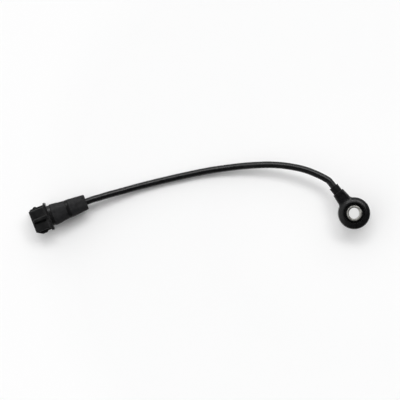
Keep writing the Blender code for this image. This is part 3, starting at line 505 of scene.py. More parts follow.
# Nodes of the materials
def node(tree, kind, inputs=None, **choices):
    """Add a shader node, set its choices, and feed its sockets with values or links."""
    made = tree.nodes.new("ShaderNode" + kind)
    for name, value in choices.items():
        setattr(made, name, value)
    for socket, value in (inputs or {}).items():
        if isinstance(value, bpy.types.NodeSocket):
            tree.links.new(value, made.inputs[socket])
        else:
            made.inputs[socket].default_value = value
    return made


def surface(name, roughness, metallic=0.0, ior=None, gloss=0.5):
    """A material, its tree, its shader and each point's place on the piece."""
    material = bpy.data.materials.new(name)
    material.use_nodes = True
    tree = material.node_tree
    shader = tree.nodes["Principled BSDF"]
    shader.inputs["Roughness"].default_value = roughness
    shader.inputs["Metallic"].default_value = metallic
    if ior is not None:
        shader.inputs["IOR"].default_value = ior
        shader.inputs["Specular IOR Level"].default_value = gloss
    return material, tree, shader, node(tree, "TexCoord").outputs["Object"]


def patches(tree, place, size, low=0.0, high=1.0, detail=3.0):
    """A value that drifts between two levels over patches of a size in metres."""
    noise = node(tree, "TexNoise", {"Vector": place, "Scale": 1 / size, "Detail": detail})
    near, far = NOISE_MIDDLE
    levels = {"From Min": near, "From Max": far, "To Min": low, "To Max": high}
    return node(tree, "MapRange", {"Value": noise.outputs["Fac"], **levels}).outputs["Result"]


def rubbed_edges(tree):
    """How far a point stands on a convex edge that hands and mates rub bright."""
    pointiness = node(tree, "NewGeometry").outputs["Pointiness"]
    start, full = RUBBED_EDGE
    rub = node(tree, "MapRange", {"Value": pointiness, "From Min": start, "From Max": full})
    return rub.outputs["Result"]


def scaled(colour_value, factor):
    """A colour made lighter or darker by a factor."""
    return tuple(min(1.0, part * factor) for part in colour_value)


class Moulding(NamedTuple):
    """A moulded or cast finish; lengths in metres, its colour a hex code or one of the scene's."""

    name: str
    colour: str
    roughness: float
    ior: float
    mottle: float
    texture: float
    relief: float
    rubbed: float
    gloss: float = 0.5


class Metal(NamedTuple):
    """A worked metal whose shade drifts between two hex codes; lengths in metres."""

    name: str
    dark: str
    light: str
    roughness: float
    patch: float
    relief: float


def mottled(tree, place, size, dark, light):
    """A colour that drifts from a dark to a light shade over patches of a size in metres."""
    share = patches(tree, place, size)
    shades = {MIX_SHARE: share, MIX_FIRST: (*dark, 1.0), MIX_SECOND: (*light, 1.0)}
    return node(tree, "Mix", shades, data_type="RGBA").outputs[MIX_RESULT]


def textured(tree, shader, place, size, relief, **choices):
    """Raise a noise of a size from the surface by a relief, both in metres."""
    noise = node(tree, "TexNoise", {"Vector": place, "Scale": 1 / size, **choices})
    bump = {"Height": noise.outputs["Fac"], "Distance": relief, "Strength": 1.0}
    tree.links.new(node(tree, "Bump", bump).outputs["Normal"], shader.inputs["Normal"])


def moulded_plastic(finish, band=None):
    """Moulded plastic: mottled sheen, tool texture, rubbed edges, perhaps a band of painted shade
    and polish.
    """
    colours = settings().colours
    own = finish.colour[0] == "#"
    base = linear(finish.colour) if own else tuple(getattr(colours, finish.colour))
    satin = finish.roughness
    material, tree, shader, place = surface(finish.name, satin, ior=finish.ior, gloss=finish.gloss)
    dark, light = (scaled(base, factor) for factor in MOTTLE_SHADES)
    body = mottled(tree, place, finish.mottle, dark, light)
    handling = patches(tree, place, HANDLING_PATCH, low=0.2)
    worn = node(tree, "Math", {0: rubbed_edges(tree), 1: handling}, operation="MULTIPLY")
    rubbed = (*scaled(base, finish.rubbed), 1.0)
    tint = {MIX_SHARE: worn.outputs["Value"], MIX_FIRST: body, MIX_SECOND: rubbed}
    shade = node(tree, "Mix", tint, data_type="RGBA").outputs[MIX_RESULT]
    if band is None:
        low, high = (satin + drift for drift in SHEEN_DRIFT)
        sheen = patches(tree, place, finish.mottle * SHEEN_PATCH, low, high)
    else:
        # The band's darker colour is painted shade; its lower roughness is the tool's polish.
        share = band(tree, place)
        painted_band_shade = (*scaled(base, BAND_PAINTED_SHADE), 1.0)
        tint = {MIX_SHARE: share, MIX_FIRST: shade, MIX_SECOND: painted_band_shade}
        shade = node(tree, "Mix", tint, data_type="RGBA").outputs[MIX_RESULT]
        levels = {"Value": share, "To Min": satin, "To Max": BAND_ROUGHNESS}
        sheen = node(tree, "MapRange", levels).outputs["Result"]
    tree.links.new(shade, shader.inputs["Base Color"])
    tree.links.new(sheen, shader.inputs["Roughness"])
    textured(tree, shader, place, finish.texture, finish.relief, Detail=4.0, Roughness=0.6)
    return material


def plain_metal(finish):
    """Metal whose shade and polish drift over patches, with a fine worked grain."""
    material, tree, shader, place = surface(finish.name, finish.roughness, metallic=1.0)
    shade = mottled(tree, place, finish.patch, linear(finish.dark), linear(finish.light))
    tree.links.new(shade, shader.inputs["Base Color"])
    low, high = (finish.roughness + drift for drift in POLISH_DRIFT)
    polish = patches(tree, place, finish.patch * POLISH_PATCH, low, high)
    tree.links.new(polish, shader.inputs["Roughness"])
    textured(tree, shader, place, METAL_GRAIN, finish.relief, Detail=3.0)
    return material


def boot_band(tree, place):
    """Share of the shallow band across the boot, with a tool polish and painted shade."""
    plug = settings().plug
    half = plug.saddle_length / 2
    centre = plug_frame @ Vector((plug.saddle + half, 0.0, 0.0))
    along = (math.cos(PLUG_HEADING), math.sin(PLUG_HEADING), 0.0)
    offset = node(tree, "VectorMath", {0: place, 1: centre}, operation="SUBTRACT")
    both = {0: offset.outputs["Vector"], 1: along}
    station = node(tree, "VectorMath", both, operation="DOT_PRODUCT")
    distance = node(tree, "Math", {0: station.outputs["Value"]}, operation="ABSOLUTE")
    start, full = BAND_EDGES
    reach = {"Value": distance.outputs["Value"], "From Min": half * start, "From Max": half * full}
    return node(tree, "MapRange", reach, interpolation_type="SMOOTHSTEP").outputs["Result"]


# Finishes, each for one real material and the way its surface was made. The numbers of a
# moulding are roughness, IOR, mottle, texture, relief, rubbed edges' shade and gloss.
MOULDINGS = {
    # PA66 with 30% glass, moulded in an eroded tool: near black and satin, with a faint
    # mottle where the glass lies near the skin. The 0.3 mm mottle is drawn at 1.4 mm.
    "moulded_nylon": (
        "PA66-GF30, eroded tool texture", "nylon", 0.26, 1.53, 0.0014, 0.0006, 8e-6, 2.2, 0.17
    ),
    # PBT for plug shells: blacker than the head and glossier, with crisp edges. Its 0.1 mm
    # texture is drawn at 0.5 mm.
    "plug_nylon": ("PBT, fine spark-eroded", "shell", 0.36, 1.55, 0.0020, 0.0005, 1e-5, 2.0, 0.3),
    # Soft thermoplastic of the boot: dark grey and matt, with a soft mottle. The shallow band
    # across it has a tool polish, and its darker colour is painted shade. Its 0.2 mm texture is
    # drawn at 0.7 mm.
    "boot_plastic": ("TPE, matt moulded", "boot", 0.55, 1.50, 0.0025, 0.0007, 1.2e-5, 1.4, 0.12),
    # EPDM grommet: dusty grey bloom on black, dull, with soft edges. Its 0.1 mm bloom is
    # drawn at 0.8 mm.
    "grommet_rubber": (
        "EPDM, compression moulded", "grommet", 0.46, 1.52, 0.0016, 0.0008, 1.2e-5, 1.4, 0.08
    ),
    # Wire seal: brick-red silicone with a dull, slightly dusty skin.
    "seal_rubber": ("Silicone, moulded", "#9a4a30", 0.60, 1.41, 0.0015, 0.0006, 1e-5, 1.3),
    # Terminal lock: grey PBT plate with a fine moulded texture.
    "lock_plastic": ("PBT, grey, moulded", "#38383a", 0.50, 1.55, 0.0015, 0.0005, 1.5e-5, 1.5),
    # Piezo ring: pressed and ground lead zirconate titanate, pale and chalky with dark specks.
    # The 0.05 mm grain is drawn at 0.3 mm.
    "piezo_ceramic": ("PZT, sintered and ground", "#cbc0a8", 0.55, 1.60, 0.0012, 0.0003, 1e-5, 1.1),
    # Insulating tube and washers: amber film, glossy with faint rolling waves.
    "insulating_film": ("Polyimide film, cast", "#c98a2e", 0.30, 1.70, 0.0040, 0.0020, 8e-6, 1.1),
}
# Core insulation: crosslinked polyethylene drawn through a die, smooth, waxy and faintly
# streaked, in white, black and brown.
CORES = (
    ("signal_insulation", "white", "#e6e2da"),
    ("return_insulation", "black", "#222224"),
    ("drain_insulation", "brown", "#5c3a22"),
)
MOULDINGS |= {
    slot: (f"XLPE, {shade}, drawn", code, 0.42, 1.51, 0.0012, 0.0006, 6e-6, 1.1)
    for slot, shade, code in CORES
}

# The worked grain of the metals is about 0.1 mm and is drawn at 0.3 mm. Their numbers are
# roughness, patch and relief.
METAL_GRAIN = 0.0003
METALS = {
    # Bare turned steel of the seismic mass: grey and oiled, with a fine lathe grain.
    "mass_steel": ("Steel, turned and oiled", "#8f8d89", "#aaa8a4", 0.38, 0.003, 1e-5),
    # Disc spring: tempered strip with a blue-brown oxide film.
    "spring_steel": ("Spring steel, tempered", "#5d5c62", "#7d7a78", 0.34, 0.004, 8e-6),
    # Contact discs: rolled and stamped brass, warm and slightly tarnished in patches.
    "contact_brass": ("Brass, rolled and stamped", "#b48d45", "#d9b56a", 0.30, 0.002, 8e-6),
    # Terminals: bright tin over stamped brass, silvery with a soft haze.
    "tinned_brass": ("Brass, tin plated", "#a9a8a3", "#d3d2cd", 0.28, 0.0018, 8e-6),
}


def extruded_jacket():
    """Cable jacket of drawn PVC."""
    # Smooth and satin, with long faint waves from the cores beneath and light handling
    # marks. The 0.05 mm die grain is drawn at 0.4 mm.
    die_grain = 0.0004
    base = tuple(settings().colours.jacket)
    shine = {"roughness": 0.28, "ior": 1.53, "gloss": 0.27}
    material, tree, shader, place = surface("PVC, extruded jacket", **shine)
    dark, light = (scaled(base, factor) for factor in (0.7, 1.5))
    handled = mottled(tree, place, size=0.004, dark=dark, light=light)
    tree.links.new(handled, shader.inputs["Base Color"])
    sheen = patches(tree, place, size=0.006, low=0.22, high=0.34)
    tree.links.new(sheen, shader.inputs["Roughness"])
    cores = patches(tree, place, size=0.009, detail=1.0)
    wave = {"Height": cores, "Distance": 0.00008, "Strength": 1.0}
    long_wave = node(tree, "Bump", wave).outputs["Normal"]
    die = node(tree, "TexNoise", {"Vector": place, "Scale": 1 / die_grain, "Detail": 2.0})
    lines = {"Height": die.outputs["Fac"], "Distance": 0.000006, "Normal": long_wave}
    tree.links.new(node(tree, "Bump", lines).outputs["Normal"], shader.inputs["Normal"])
    return material


def zinc_plated_steel():
    """Sleeve of turned free-cutting steel with clear zinc."""
    # Soft silver with round feed marks and a slightly cloudy plating. The 0.1 mm feed is
    # drawn at 0.45 mm.
    feed = 0.00045
    zinc = tuple(settings().colours.zinc)
    shine = {"roughness": 0.36, "metallic": 1.0}
    material, tree, shader, place = surface("Steel, turned and zinc plated", **shine)
    dark, light = (scaled(zinc, factor) for factor in (0.72, 1.12))
    plated = mottled(tree, place, size=0.0022, dark=dark, light=light)
    tree.links.new(plated, shader.inputs["Base Color"])
    cloudy = patches(tree, place, size=0.0015, low=0.30, high=0.46)
    tree.links.new(cloudy, shader.inputs["Roughness"])
    offset = node(tree, "VectorMath", {0: place, 1: (bore_x, 0.0, 0.0)}, operation="SUBTRACT")
    flat = {0: offset.outputs["Vector"], 1: (1.0, 1.0, 0.0)}
    across = node(tree, "VectorMath", flat, operation="MULTIPLY")
    radius = node(tree, "VectorMath", {0: across.outputs["Vector"]}, operation="LENGTH")
    turning = {"W": radius.outputs["Value"], "Scale": 1 / feed, "Detail": 2.0}
    marks = node(tree, "TexNoise", turning, noise_dimensions="1D").outputs["Fac"]
    bump = node(tree, "Bump", {"Height": marks, "Distance": 0.00002, "Strength": 1.0})
    tree.links.new(bump.outputs["Normal"], shader.inputs["Normal"])
    return material


SPECIAL_FINISHES = {"cable_jacket": extruded_jacket, "plated_steel": zinc_plated_steel}
made_finishes = {}


def finish_of(slot):
    """The material of a slot, made once."""
    if slot not in made_finishes:
        if slot in METALS:
            made_finishes[slot] = plain_metal(Metal(*METALS[slot]))
        elif slot in MOULDINGS:
            band = boot_band if slot == "boot_plastic" else None
            made_finishes[slot] = moulded_plastic(Moulding(*MOULDINGS[slot]), band)
        else:
            made_finishes[slot] = SPECIAL_FINISHES[slot]()
    return made_finishes[slot]


# Operators, one for each piece or group of like pieces
class KNOCK_OT_camera(bpy.types.Operator):
    """Place the camera straight over the sensor, as in the photograph"""

    bl_idname = "knock.camera"
    bl_label = "Camera"

    def execute(self, context):
        stage = settings().stage
        sensor_millimetres = 36.0
        subject_height = 0.008
        aim = Vector((0.0721, 0.0860, 0.0))
        turn = math.radians(232.4)
        data = bpy.data.cameras.new("overhead_camera")
        data.sensor_width = sensor_millimetres
        data.lens = sensor_millimetres * (stage.camera_height - subject_height) / stage.view_width
        data.clip_start = 0.05
        data.clip_end = 60.0
        camera = bpy.data.objects.new("overhead_camera", data)
        camera.location = aim + Vector((0.0, 0.0, stage.camera_height))
        camera.rotation_euler = (0.0, 0.0, turn)
        bpy.context.scene.collection.objects.link(camera)
        bpy.context.scene.camera = camera
        return {"FINISHED"}


class KNOCK_OT_bolt_sleeve(bpy.types.Operator):
    """Turn the steel sleeve with its bolt bore and contact flange"""

    bl_idname = "knock.bolt_sleeve"
    bl_label = "Bolt Sleeve"

    def execute(self, context):
        sizes = settings().head
        inner = sizes.bore / 2
        outer = sizes.sleeve / 2
        edge = sizes.sleeve_edge
        chamfer = sizes.sleeve_chamfer
        radii = (edge, edge)
        profile = [
            *arc((inner + edge, edge), radii, 180, 270),
            *arc((flange_radius - edge, edge), radii, 270, 360),
            *arc((flange_radius - edge, sizes.flange - edge), radii, 0, 90),
            (outer, sizes.flange),
            *arc((outer - edge, sleeve_top - edge), radii, 0, 90),
            (inner + chamfer, sleeve_top),
            (inner, sleeve_top - chamfer),
        ]
        sleeve = add_body("bolt_sleeve", turned(profile), head_frame)
        finish_piece(sleeve, "plated_steel", "sleeve")
        return {"FINISHED"}


class KNOCK_OT_head_overmould(bpy.types.Operator):
    """Mould the ring-shaped head and its cable neck"""

    bl_idname = "knock.head_overmould"
    bl_label = "Head Overmould"

    def execute(self, context):
        sizes = settings().head
        overmould = add_body("head_overmould", self.ring_body(sizes), head_frame)
        neck = add_body("neck_body", self.neck_body(sizes), head_frame)
        joined = bmesh.new()
        joined.from_mesh(overmould.data)
        joined.from_mesh(neck.data)
        joined.to_mesh(overmould.data)
        joined.free()
        bpy.data.objects.remove(neck, do_unlink=True)
        finish_piece(overmould, "moulded_nylon", "housing")
        return {"FINISHED"}

    def roll_at(self, sizes, share):
        """Height of the rim's outer roll at a share of its width: a slope that rounds over."""
        rounding = 1 - math.sqrt(1 - share * share)
        return rim_top - sizes.rim_fall * (RIM_SLOPE * share + (1 - RIM_SLOPE) * rounding)

    def wall_at(self, sizes, height):
        """Radius of the head's outside at a height, from the wall up into the rim's roll."""
        near, far = 0.0, 1.0
        for _ in range(ROLL_HALVINGS):
            middle = (near + far) / 2
            if self.roll_at(sizes, middle) > height:
                near = middle
            else:
                far = middle
        return head_radius - sizes.rim_width * (1 - far)

    def ring_body(self, sizes):
        """Foot, wall with its parting ridge, rolled rim, sunk centre and the stack's cavity."""
        hole = sizes.sleeve / 2 + SNUG_GAP
        fillet = 0.0003
        sunk = rim_top - sizes.rim_height
        crest = head_radius - sizes.rim_width
        inner_foot = crest - sizes.rim_inner
        chamfer = sizes.foot_chamfer
        cavity = head_radius - sizes.wall
        recess = flange_radius + SEAT_GAP
        recess_top = sizes.flange + SEAT_GAP
        wall_low = head_foot + chamfer
        wall_high = rim_top - sizes.rim_fall
        turns = [math.pi / 2 * step / ROLL_STEPS for step in range(1, ROLL_STEPS + 1)]
        shares = [math.sin(turn) for turn in turns]
        roll = [(crest + sizes.rim_width * share, self.roll_at(sizes, share)) for share in shares]
        floor = stations(hole + fillet, inner_foot - fillet, TURNED_SPACING)
        wall = [(head_radius, z) for z in stations(wall_low, wall_high, WIDE_SPACING)]
        ridge = [
            (head_radius, neck_height + SEAM_HALF_WIDTH),
            (head_radius + SEAM_HEIGHT, neck_height),
            (head_radius, neck_height - SEAM_HALF_WIDTH),
        ]
        wall = sorted(wall + ridge, key=lambda point: -point[1])
        profile = [
            (hole, sunk - sizes.roof),
            *arc((hole + fillet, sunk - fillet), (fillet, fillet), 180, 90),
            *[(radius, sunk) for radius in floor],
            *arc((crest, sunk), (sizes.rim_inner, sizes.rim_height), 180, 90, INNER_ROLL_STEPS),
            *roll,
            *wall,
            *arc((head_radius - chamfer, wall_low), (chamfer, chamfer), 0, -90),
            (recess, head_foot),
            (recess, recess_top),
            (cavity, recess_top),
            (cavity, sunk - sizes.roof),
        ]
        return turned(profile)

    def neck_body(self, sizes):
        """Neck with its root fillet on the head's wall, parting ridge and grommet channel."""
        root_width = sizes.neck_width + sizes.neck_flare
        root_depth = sizes.neck_depth + sizes.neck_rise
        corner = sizes.neck_round
        span = neck_end - head_radius
        rings = []
        for step in range(-1, FILLET_STEPS + 1):
            angle = math.pi / 2 * max(0, step) / FILLET_STEPS
            spread = 1 - math.sin(angle)
            stand_off = sizes.neck_fillet * (1 - math.cos(angle))
            if step < 0:
                stand_off -= HIDDEN_LAP
            side = sizes.neck_fillet * spread
            top = sizes.neck_top_fillet * spread
            share = max(0.0, stand_off) / span
            width = root_width - sizes.neck_flare * share + 2 * side
            depth = root_depth - sizes.neck_rise * share + side + top
            middle = neck_height + (top - side) / 2
            points = []
            for y, z in rounded(width, depth, corner + side, corner + side / 2, SEAM_HEIGHT):
                reach = self.wall_at(sizes, middle + z) + stand_off
                points.append((math.sqrt(reach * reach - y * y), y, middle + z))
            rings.append(points)
        edge = 0.0004
        straight_start = head_radius + sizes.neck_fillet
        places = [(x, 0.0) for x in stations(straight_start, neck_end - edge)]
        places += reversed(edge_round(neck_end, edge, -1))
        for x, inset in places:
            share = (x - head_radius) / span
            width = root_width - sizes.neck_flare * share
            depth = root_depth - sizes.neck_rise * share
            rings.append(ring(x, boxed(width, depth, corner, inset, SEAM_HEIGHT), neck_height))
        channel = settings().cable.spigot / 2 + SNUG_GAP
        lead_in = 0.0002
        for sunk, wider in ((0.0, lead_in), (lead_in, 0.0), (sizes.channel, 0.0)):
            rings.append(ring(neck_end - sunk, circle(channel + wider), neck_height))
        return skin(rings)


class KNOCK_OT_cable_grommet(bpy.types.Operator):
    """Mould the rubber grommet with its collar and bead"""

    bl_idname = "knock.cable_grommet"
    bl_label = "Cable Grommet"

    def execute(self, context):
        sizes = settings().cable
        core_way = sizes.core_way / 2
        entry = sizes.diameter / 2 + CABLE_PLAY
        spigot = sizes.spigot / 2
        collar = sizes.collar / 2
        edge = 0.0003
        start = neck_end + SNUG_GAP
        bead_start = collar_end - sizes.bead
        bead_round = sizes.bead / 2
        radii = (bead_round, bead_round)
        groove = 0.0002
        profile = [
            (core_way, grommet_low.x - bore_x),
            (spigot, grommet_low.x - bore_x),
            (spigot, start),
            *arc((collar - edge, start + edge), (edge, edge), -90, 0),
            *[(collar, x) for x in stations(start + edge, bead_start - edge, TURNED_SPACING)],
            (collar, bead_start - groove),
            (collar - groove / 2, bead_start),
            *arc((bead_radius - bead_round, bead_start + bead_round), radii, -60, 90, BEAD_STEPS),
            *arc((entry + edge, collar_end - edge), (edge, edge), 90, 180),
            (entry, collar_end - sizes.entry),
            (core_way, collar_end - sizes.entry),
        ]
        body = turned(profile, along_x=True, height=neck_height)
        grommet = add_body("cable_grommet", body, head_frame)
        finish_piece(grommet, "grommet_rubber", "neck_grommet")
        return {"FINISHED"}


class KNOCK_OT_plug_boot(bpy.types.Operator):
    """Mould the tapered boot behind the plug"""

    bl_idname = "knock.plug_boot"
    bl_label = "Plug Boot"

    def execute(self, context):
        sizes = settings().plug
        entry = settings().cable.diameter / 2 + CABLE_PLAY
        core_way = settings().cable.core_way / 2
        rear_round = 0.0007
        front_round = 0.0005
        places = edge_round(0.0, rear_round, 1)
        places += [(x, 0.0) for x in stations(rear_round, sizes.boot - front_round, FINE_SPACING)]
        places += reversed(edge_round(sizes.boot, front_round, -1))
        rings = [ring(x, self.section(sizes, x, inset)) for x, inset in sorted(places)]
        wall = sizes.boot_wall
        lip = 0.0002
        rings.append(ring(sizes.boot, self.section(sizes, sizes.boot, wall - lip, seam=0.0)))
        for x in (sizes.boot - lip, BOOT_HOLLOW):
            rings.append(ring(x, self.section(sizes, x, wall, seam=0.0, saddle=False)))
        stop = settings().cable.entry
        bores = [(BOOT_HOLLOW, core_way), (stop, core_way), (stop, entry), (lip, entry)]
        rings += [ring(x, circle(radius)) for x, radius in (*bores, (0.0, entry + lip))]
        boot = add_body("plug_boot", skin(rings, loop=True), plug_frame)
        combine(boot, self.gate_mark(sizes), "DIFFERENCE")
        finish_piece(boot, "boot_plastic", "boot")
        return {"FINISHED"}

    def section(self, sizes, x, inset=0.0, seam=SEAM_HEIGHT, saddle=True):
        """The boot's outline at a station, with its taper and the shallow band."""
        share = 1 - x / sizes.boot
        width = sizes.boot_width - sizes.width_taper * share - 2 * inset
        depth = sizes.boot_depth - sizes.depth_taper * share - 2 * inset
        if saddle:
            width -= 2 * sizes.saddle_side * self.dip(x, sizes.saddle, sizes.side_length)
            depth -= 2 * sizes.saddle_depth * self.dip(x, sizes.saddle, sizes.saddle_length)
        return oval(width, depth, seam)

    def dip(self, x, start, reach):
        """Share of a shallow dip's depth at a station: soft ends and a flat middle."""
        steepness = 1.8
        place = min(1.0, max(0.0, (x - start) / reach))
        return min(1.0, steepness * math.sin(math.pi * place) ** 2)

    def gate_mark(self, sizes):
        """The sunk ring that the moulding gate leaves on the boot's top."""
        inset = 0.0018
        side = -0.0035
        radius = sizes.gate_mark / 2
        sink = 0.0012
        floor = (sizes.boot_depth - sizes.depth_taper * (1 - inset / sizes.boot)) / 2 - sink
        middle = 0.0001
        nub = radius * 0.35
        nub_foot = nub * 1.3
        nub_height = 0.00035
        profile = [
            (middle, floor + nub_height),
            (nub, floor + nub_height),
            (nub_foot, floor),
            (radius, floor),
            (radius, sizes.boot_depth),
            (middle, sizes.boot_depth),
        ]
        angles = [math.tau * step / GATE_SIDES for step in range(GATE_SIDES)]
        rings = [[(r * math.cos(a), r * math.sin(a), z) for a in angles] for r, z in profile]
        place = plug_frame @ Matrix.Translation((inset, side, 0.0))
        return add_body("gate_mark", skin(rings), place)


class KNOCK_OT_plug_shell(bpy.types.Operator):
    """Mould the plug's shell: spigot, flange, socket, side rails and key rib"""

    bl_idname = "knock.plug_shell"
    bl_label = "Plug Shell"

    def execute(self, context):
        sizes = settings().plug
        shell = add_body("plug_shell", self.body(sizes), plug_frame)
        for side in (-1, 1):
            combine(shell, self.side_rail(sizes, side), "UNION")
        combine(shell, self.key_rib(sizes), "UNION")
        self.cut_key_slot(shell, sizes)
        for number in (-1, 0, 1):
            combine(shell, self.blade_slot(sizes, number * sizes.blade_pitch), "DIFFERENCE")
        finish_piece(shell, "plug_nylon", "connector_shell")
        return {"FINISHED"}

    def flange_span(self, sizes):
        """Where the flange starts and ends along the plug."""
        start = sizes.boot + SEAT_GAP + NECK_LENGTH
        return start, start + FLANGE_THICKNESS

    def body(self, sizes):
        """The shell without its rails and key, from the seal pocket round to the socket floor."""
        spigot_start = sizes.boot - SPIGOT_LENGTH
        neck_start = sizes.boot + SNUG_GAP
        flange_start, flange_end = self.flange_span(sizes)
        pocket = boxed(width=0.0097, height=0.0070, corner=0.0015)
        spigot = oval(width=0.0119, height=0.0088)
        side_step = 0.0004
        top_step = 0.0016
        neck = oval(sizes.boot_width - 2 * side_step, sizes.boot_depth - 2 * top_step)
        edge = 0.0003
        flange = sorted(edge_round(flange_start, edge, 1))
        flange += sorted(edge_round(flange_end, edge, -1))
        flange_corner = 0.0020
        plate = (sizes.flange_width, sizes.flange_depth, flange_corner)
        fillet = 0.0003
        lip = 0.0005
        foot = flange_end + fillet
        outside = [(x, -inset) for x, inset in sorted(edge_round(foot, fillet, -1))]
        outside += [(x, 0.0) for x in stations(foot, SOCKET_MOUTH - lip, WIDE_SPACING)]
        outside += sorted(edge_round(SOCKET_MOUTH, lip, -1))
        shroud_corner = 0.0006
        shroud = (sizes.shroud_width, sizes.shroud_depth, shroud_corner)
        lead_in = 0.0004
        throat = SOCKET_MOUTH - lead_in
        inside = [(SOCKET_MOUTH, -lead_in), (throat, 0.0)]
        inside += [(x, 0.0) for x in reversed(stations(SOCKET_FLOOR, throat, WIDE_SPACING))]
        inside.append((SOCKET_FLOOR, 0.0))
        inner_corner = 0.0012
        wall = 2 * sizes.shroud_wall
        socket = (sizes.shroud_width - wall, sizes.shroud_depth - wall, inner_corner)
        rings = [ring(POCKET_FLOOR, pocket), ring(spigot_start, pocket)]
        rings += [ring(spigot_start, spigot), ring(neck_start, spigot)]
        necks = stations(neck_start, flange_start, FINE_SPACING)
        rings += [ring(x, neck) for x in (neck_start, *necks, flange_start)]
        rings += [ring(x, boxed(*plate, inset)) for x, inset in flange]
        rings += [ring(x, boxed(*shroud, inset, SEAM_HEIGHT)) for x, inset in outside]
        rings += [ring(x, boxed(*socket, inset)) for x, inset in inside]
        return skin(rings)

    def side_rail(self, sizes, side):
        """Rail along the socket's side with its latching lug; one side ramps from the mouth."""
        flange_end = self.flange_span(sizes)[1]
        lug_length, deeper = (0.0024, 0.0) if side < 0 else (0.0046, 0.0002)
        lug_depth = sizes.lug_depth + deeper
        lug_setback = 0.0044
        rail_setback = 0.0005
        nose = 0.0001
        lug_front = SOCKET_MOUTH - lug_setback
        lug_rear = lug_front - lug_length
        half = sizes.shroud_width / 2
        inside = side * (half - HIDDEN_LAP)
        rail = side * (half + sizes.rail_depth)
        lug = side * (half + sizes.rail_depth + lug_depth)
        rear = flange_end - HIDDEN_LAP
        front = SOCKET_MOUTH - rail_setback
        lug_start = lug_rear + lug_depth
        outline = [(rear, inside), (rear, rail), (lug_rear, rail)]
        outline += [(lug_start, lug), (lug_front, lug)]
        if side < 0:
            outline += [(lug_front + lug_depth, rail), (front - sizes.rail_depth, rail)]
        outline += [(front, side * (half + nose)), (front, inside)]
        points = [(x, y, -sizes.rail / 2) for x, y in outline]
        up = (0.0, 0.0, sizes.rail)
        return bevelled_prism("side_rail", points, up, bevel=0.0002, place=plug_frame)

    def key_rib(self, sizes):
        """Rib on the socket's top that keys the harness connector."""
        flange_end = self.flange_span(sizes)[1]
        height = 0.0012
        setback = 0.0008
        top = sizes.shroud_depth / 2 + height
        base = sizes.shroud_depth / 2 - HIDDEN_LAP
        rear = flange_end - HIDDEN_LAP
        front = SOCKET_MOUTH - setback
        side = sizes.key_edge - sizes.key
        outline = [
            (rear, side, base),
            (front, side, base),
            (front, side, top - height / 2),
            (front - height / 2, side, top),
            (rear, side, top),
        ]
        across = (0.0, sizes.key, 0.0)
        return bevelled_prism("key_rib", outline, across, bevel=0.00025, place=plug_frame)

    def cut_key_slot(self, shell, sizes):
        """Sink a slot along the key rib's foot, with a trough behind it past the lock plate."""
        flange_end = self.flange_span(sizes)[1]
        setback = 0.0009
        lock_plate = 0.0018
        end_wall = 0.0002
        slot_gap = 0.0001
        depth = 0.0028
        wall = 0.0008
        front = SOCKET_MOUTH - setback
        trough = (SOCKET_FLOOR + lock_plate, front + end_wall)
        slot = (flange_end + slot_gap, front)
        combine(shell, self.key_bar(sizes, trough, wall, depth + wall, -HIDDEN_LAP), "UNION")
        combine(shell, self.key_bar(sizes, slot, 0.0, depth, HIDDEN_LAP), "DIFFERENCE")

    def key_bar(self, sizes, span, margin, depth, over):
        """A bar along the key rib's foot, from over the socket's top down to a depth."""
        slot_width = 0.0019
        rear, front = span
        low = sizes.shroud_depth / 2 - depth
        high = sizes.shroud_depth / 2 + over
        corners = ((rear, low), (front, low), (front, high), (rear, high))
        outline = [(x, sizes.key_edge - margin, z) for x, z in corners]
        across = (0.0, slot_width + 2 * margin, 0.0)
        return bevelled_prism("key_bar", outline, across, bevel=0.00005, place=plug_frame)

    def blade_slot(self, sizes, y):
        """Slot through the shell's web for one blade."""
        half_width = 0.0012
        thickness = 0.0014
        rear = POCKET_FLOOR - HIDDEN_LAP
        front = SOCKET_FLOOR + HIDDEN_LAP
        near = y - half_width
        far = y + half_width
        corners = ((rear, near), (rear, far), (front, far), (front, near))
        outline = [(*corner, -thickness / 2) for corner in corners]
        up = (0.0, 0.0, thickness)
        return bevelled_prism("blade_slot", outline, up, bevel=0.0001, place=plug_frame)


class KNOCK_OT_cable(bpy.types.Operator):
    """Lay the cable from the grommet to the boot"""

    bl_idname = "knock.cable"
    bl_label = "Cable"

    def execute(self, context):
        sizes = settings().cable
        outward = Vector((1.0, 0.0, 0.0))
        heading = Vector((math.cos(PLUG_HEADING), math.sin(PLUG_HEADING), 0.0))
        start = Vector((collar_end + SEAT_GAP, 0.0, neck_height))
        end = Vector((*PLUG_ENTRY, plug_height)) - heading * SEAT_GAP
        first = start + outward * CABLE_END_STRAIGHT
        last = end - heading * CABLE_END_STRAIGHT
        stops = [first, *CABLE_STOPS, last]
        route = smooth_route(stops, outward, heading, CABLE_POINT_SPACING)
        near = start - outward * sizes.entry
        far = end + heading * sizes.entry
        points = [near, start, *route, end, far]
        curve = bpy.data.curves.new("sensor_cable", "CURVE")
        curve.dimensions = "3D"
        curve.bevel_depth = sizes.diameter / 2
        curve.bevel_resolution = CABLE_SIDES
        curve.use_fill_caps = True
        spline = curve.splines.new("POLY")
        spline.points.add(len(points) - 1)
        for target, point in zip(spline.points, points):
            target.co = (*point, 1.0)
        spline.use_smooth = True
        cable = bpy.data.objects.new("sensor_cable", curve)
        cable.matrix_world = head_frame
        bpy.context.scene.collection.objects.link(cable)
        finish_piece(cable, "cable_jacket", "cable")
        return {"FINISHED"}


class KNOCK_OT_inner_pieces(bpy.types.Operator):
    """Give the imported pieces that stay, such as blades and sensing stack, their finishes"""

    bl_idname = "knock.inner_pieces"
    bl_label = "Inner Pieces"

    def execute(self, context):
        for part in frame["record"]["subparts"]:
            if part["node"] in REPLACED:
                continue
            piece = frame["nodes"][part["node"]]
            piece.data.materials.clear()
            piece.data.materials.append(finish_of(part["material_slot"]))
        return {"FINISHED"}


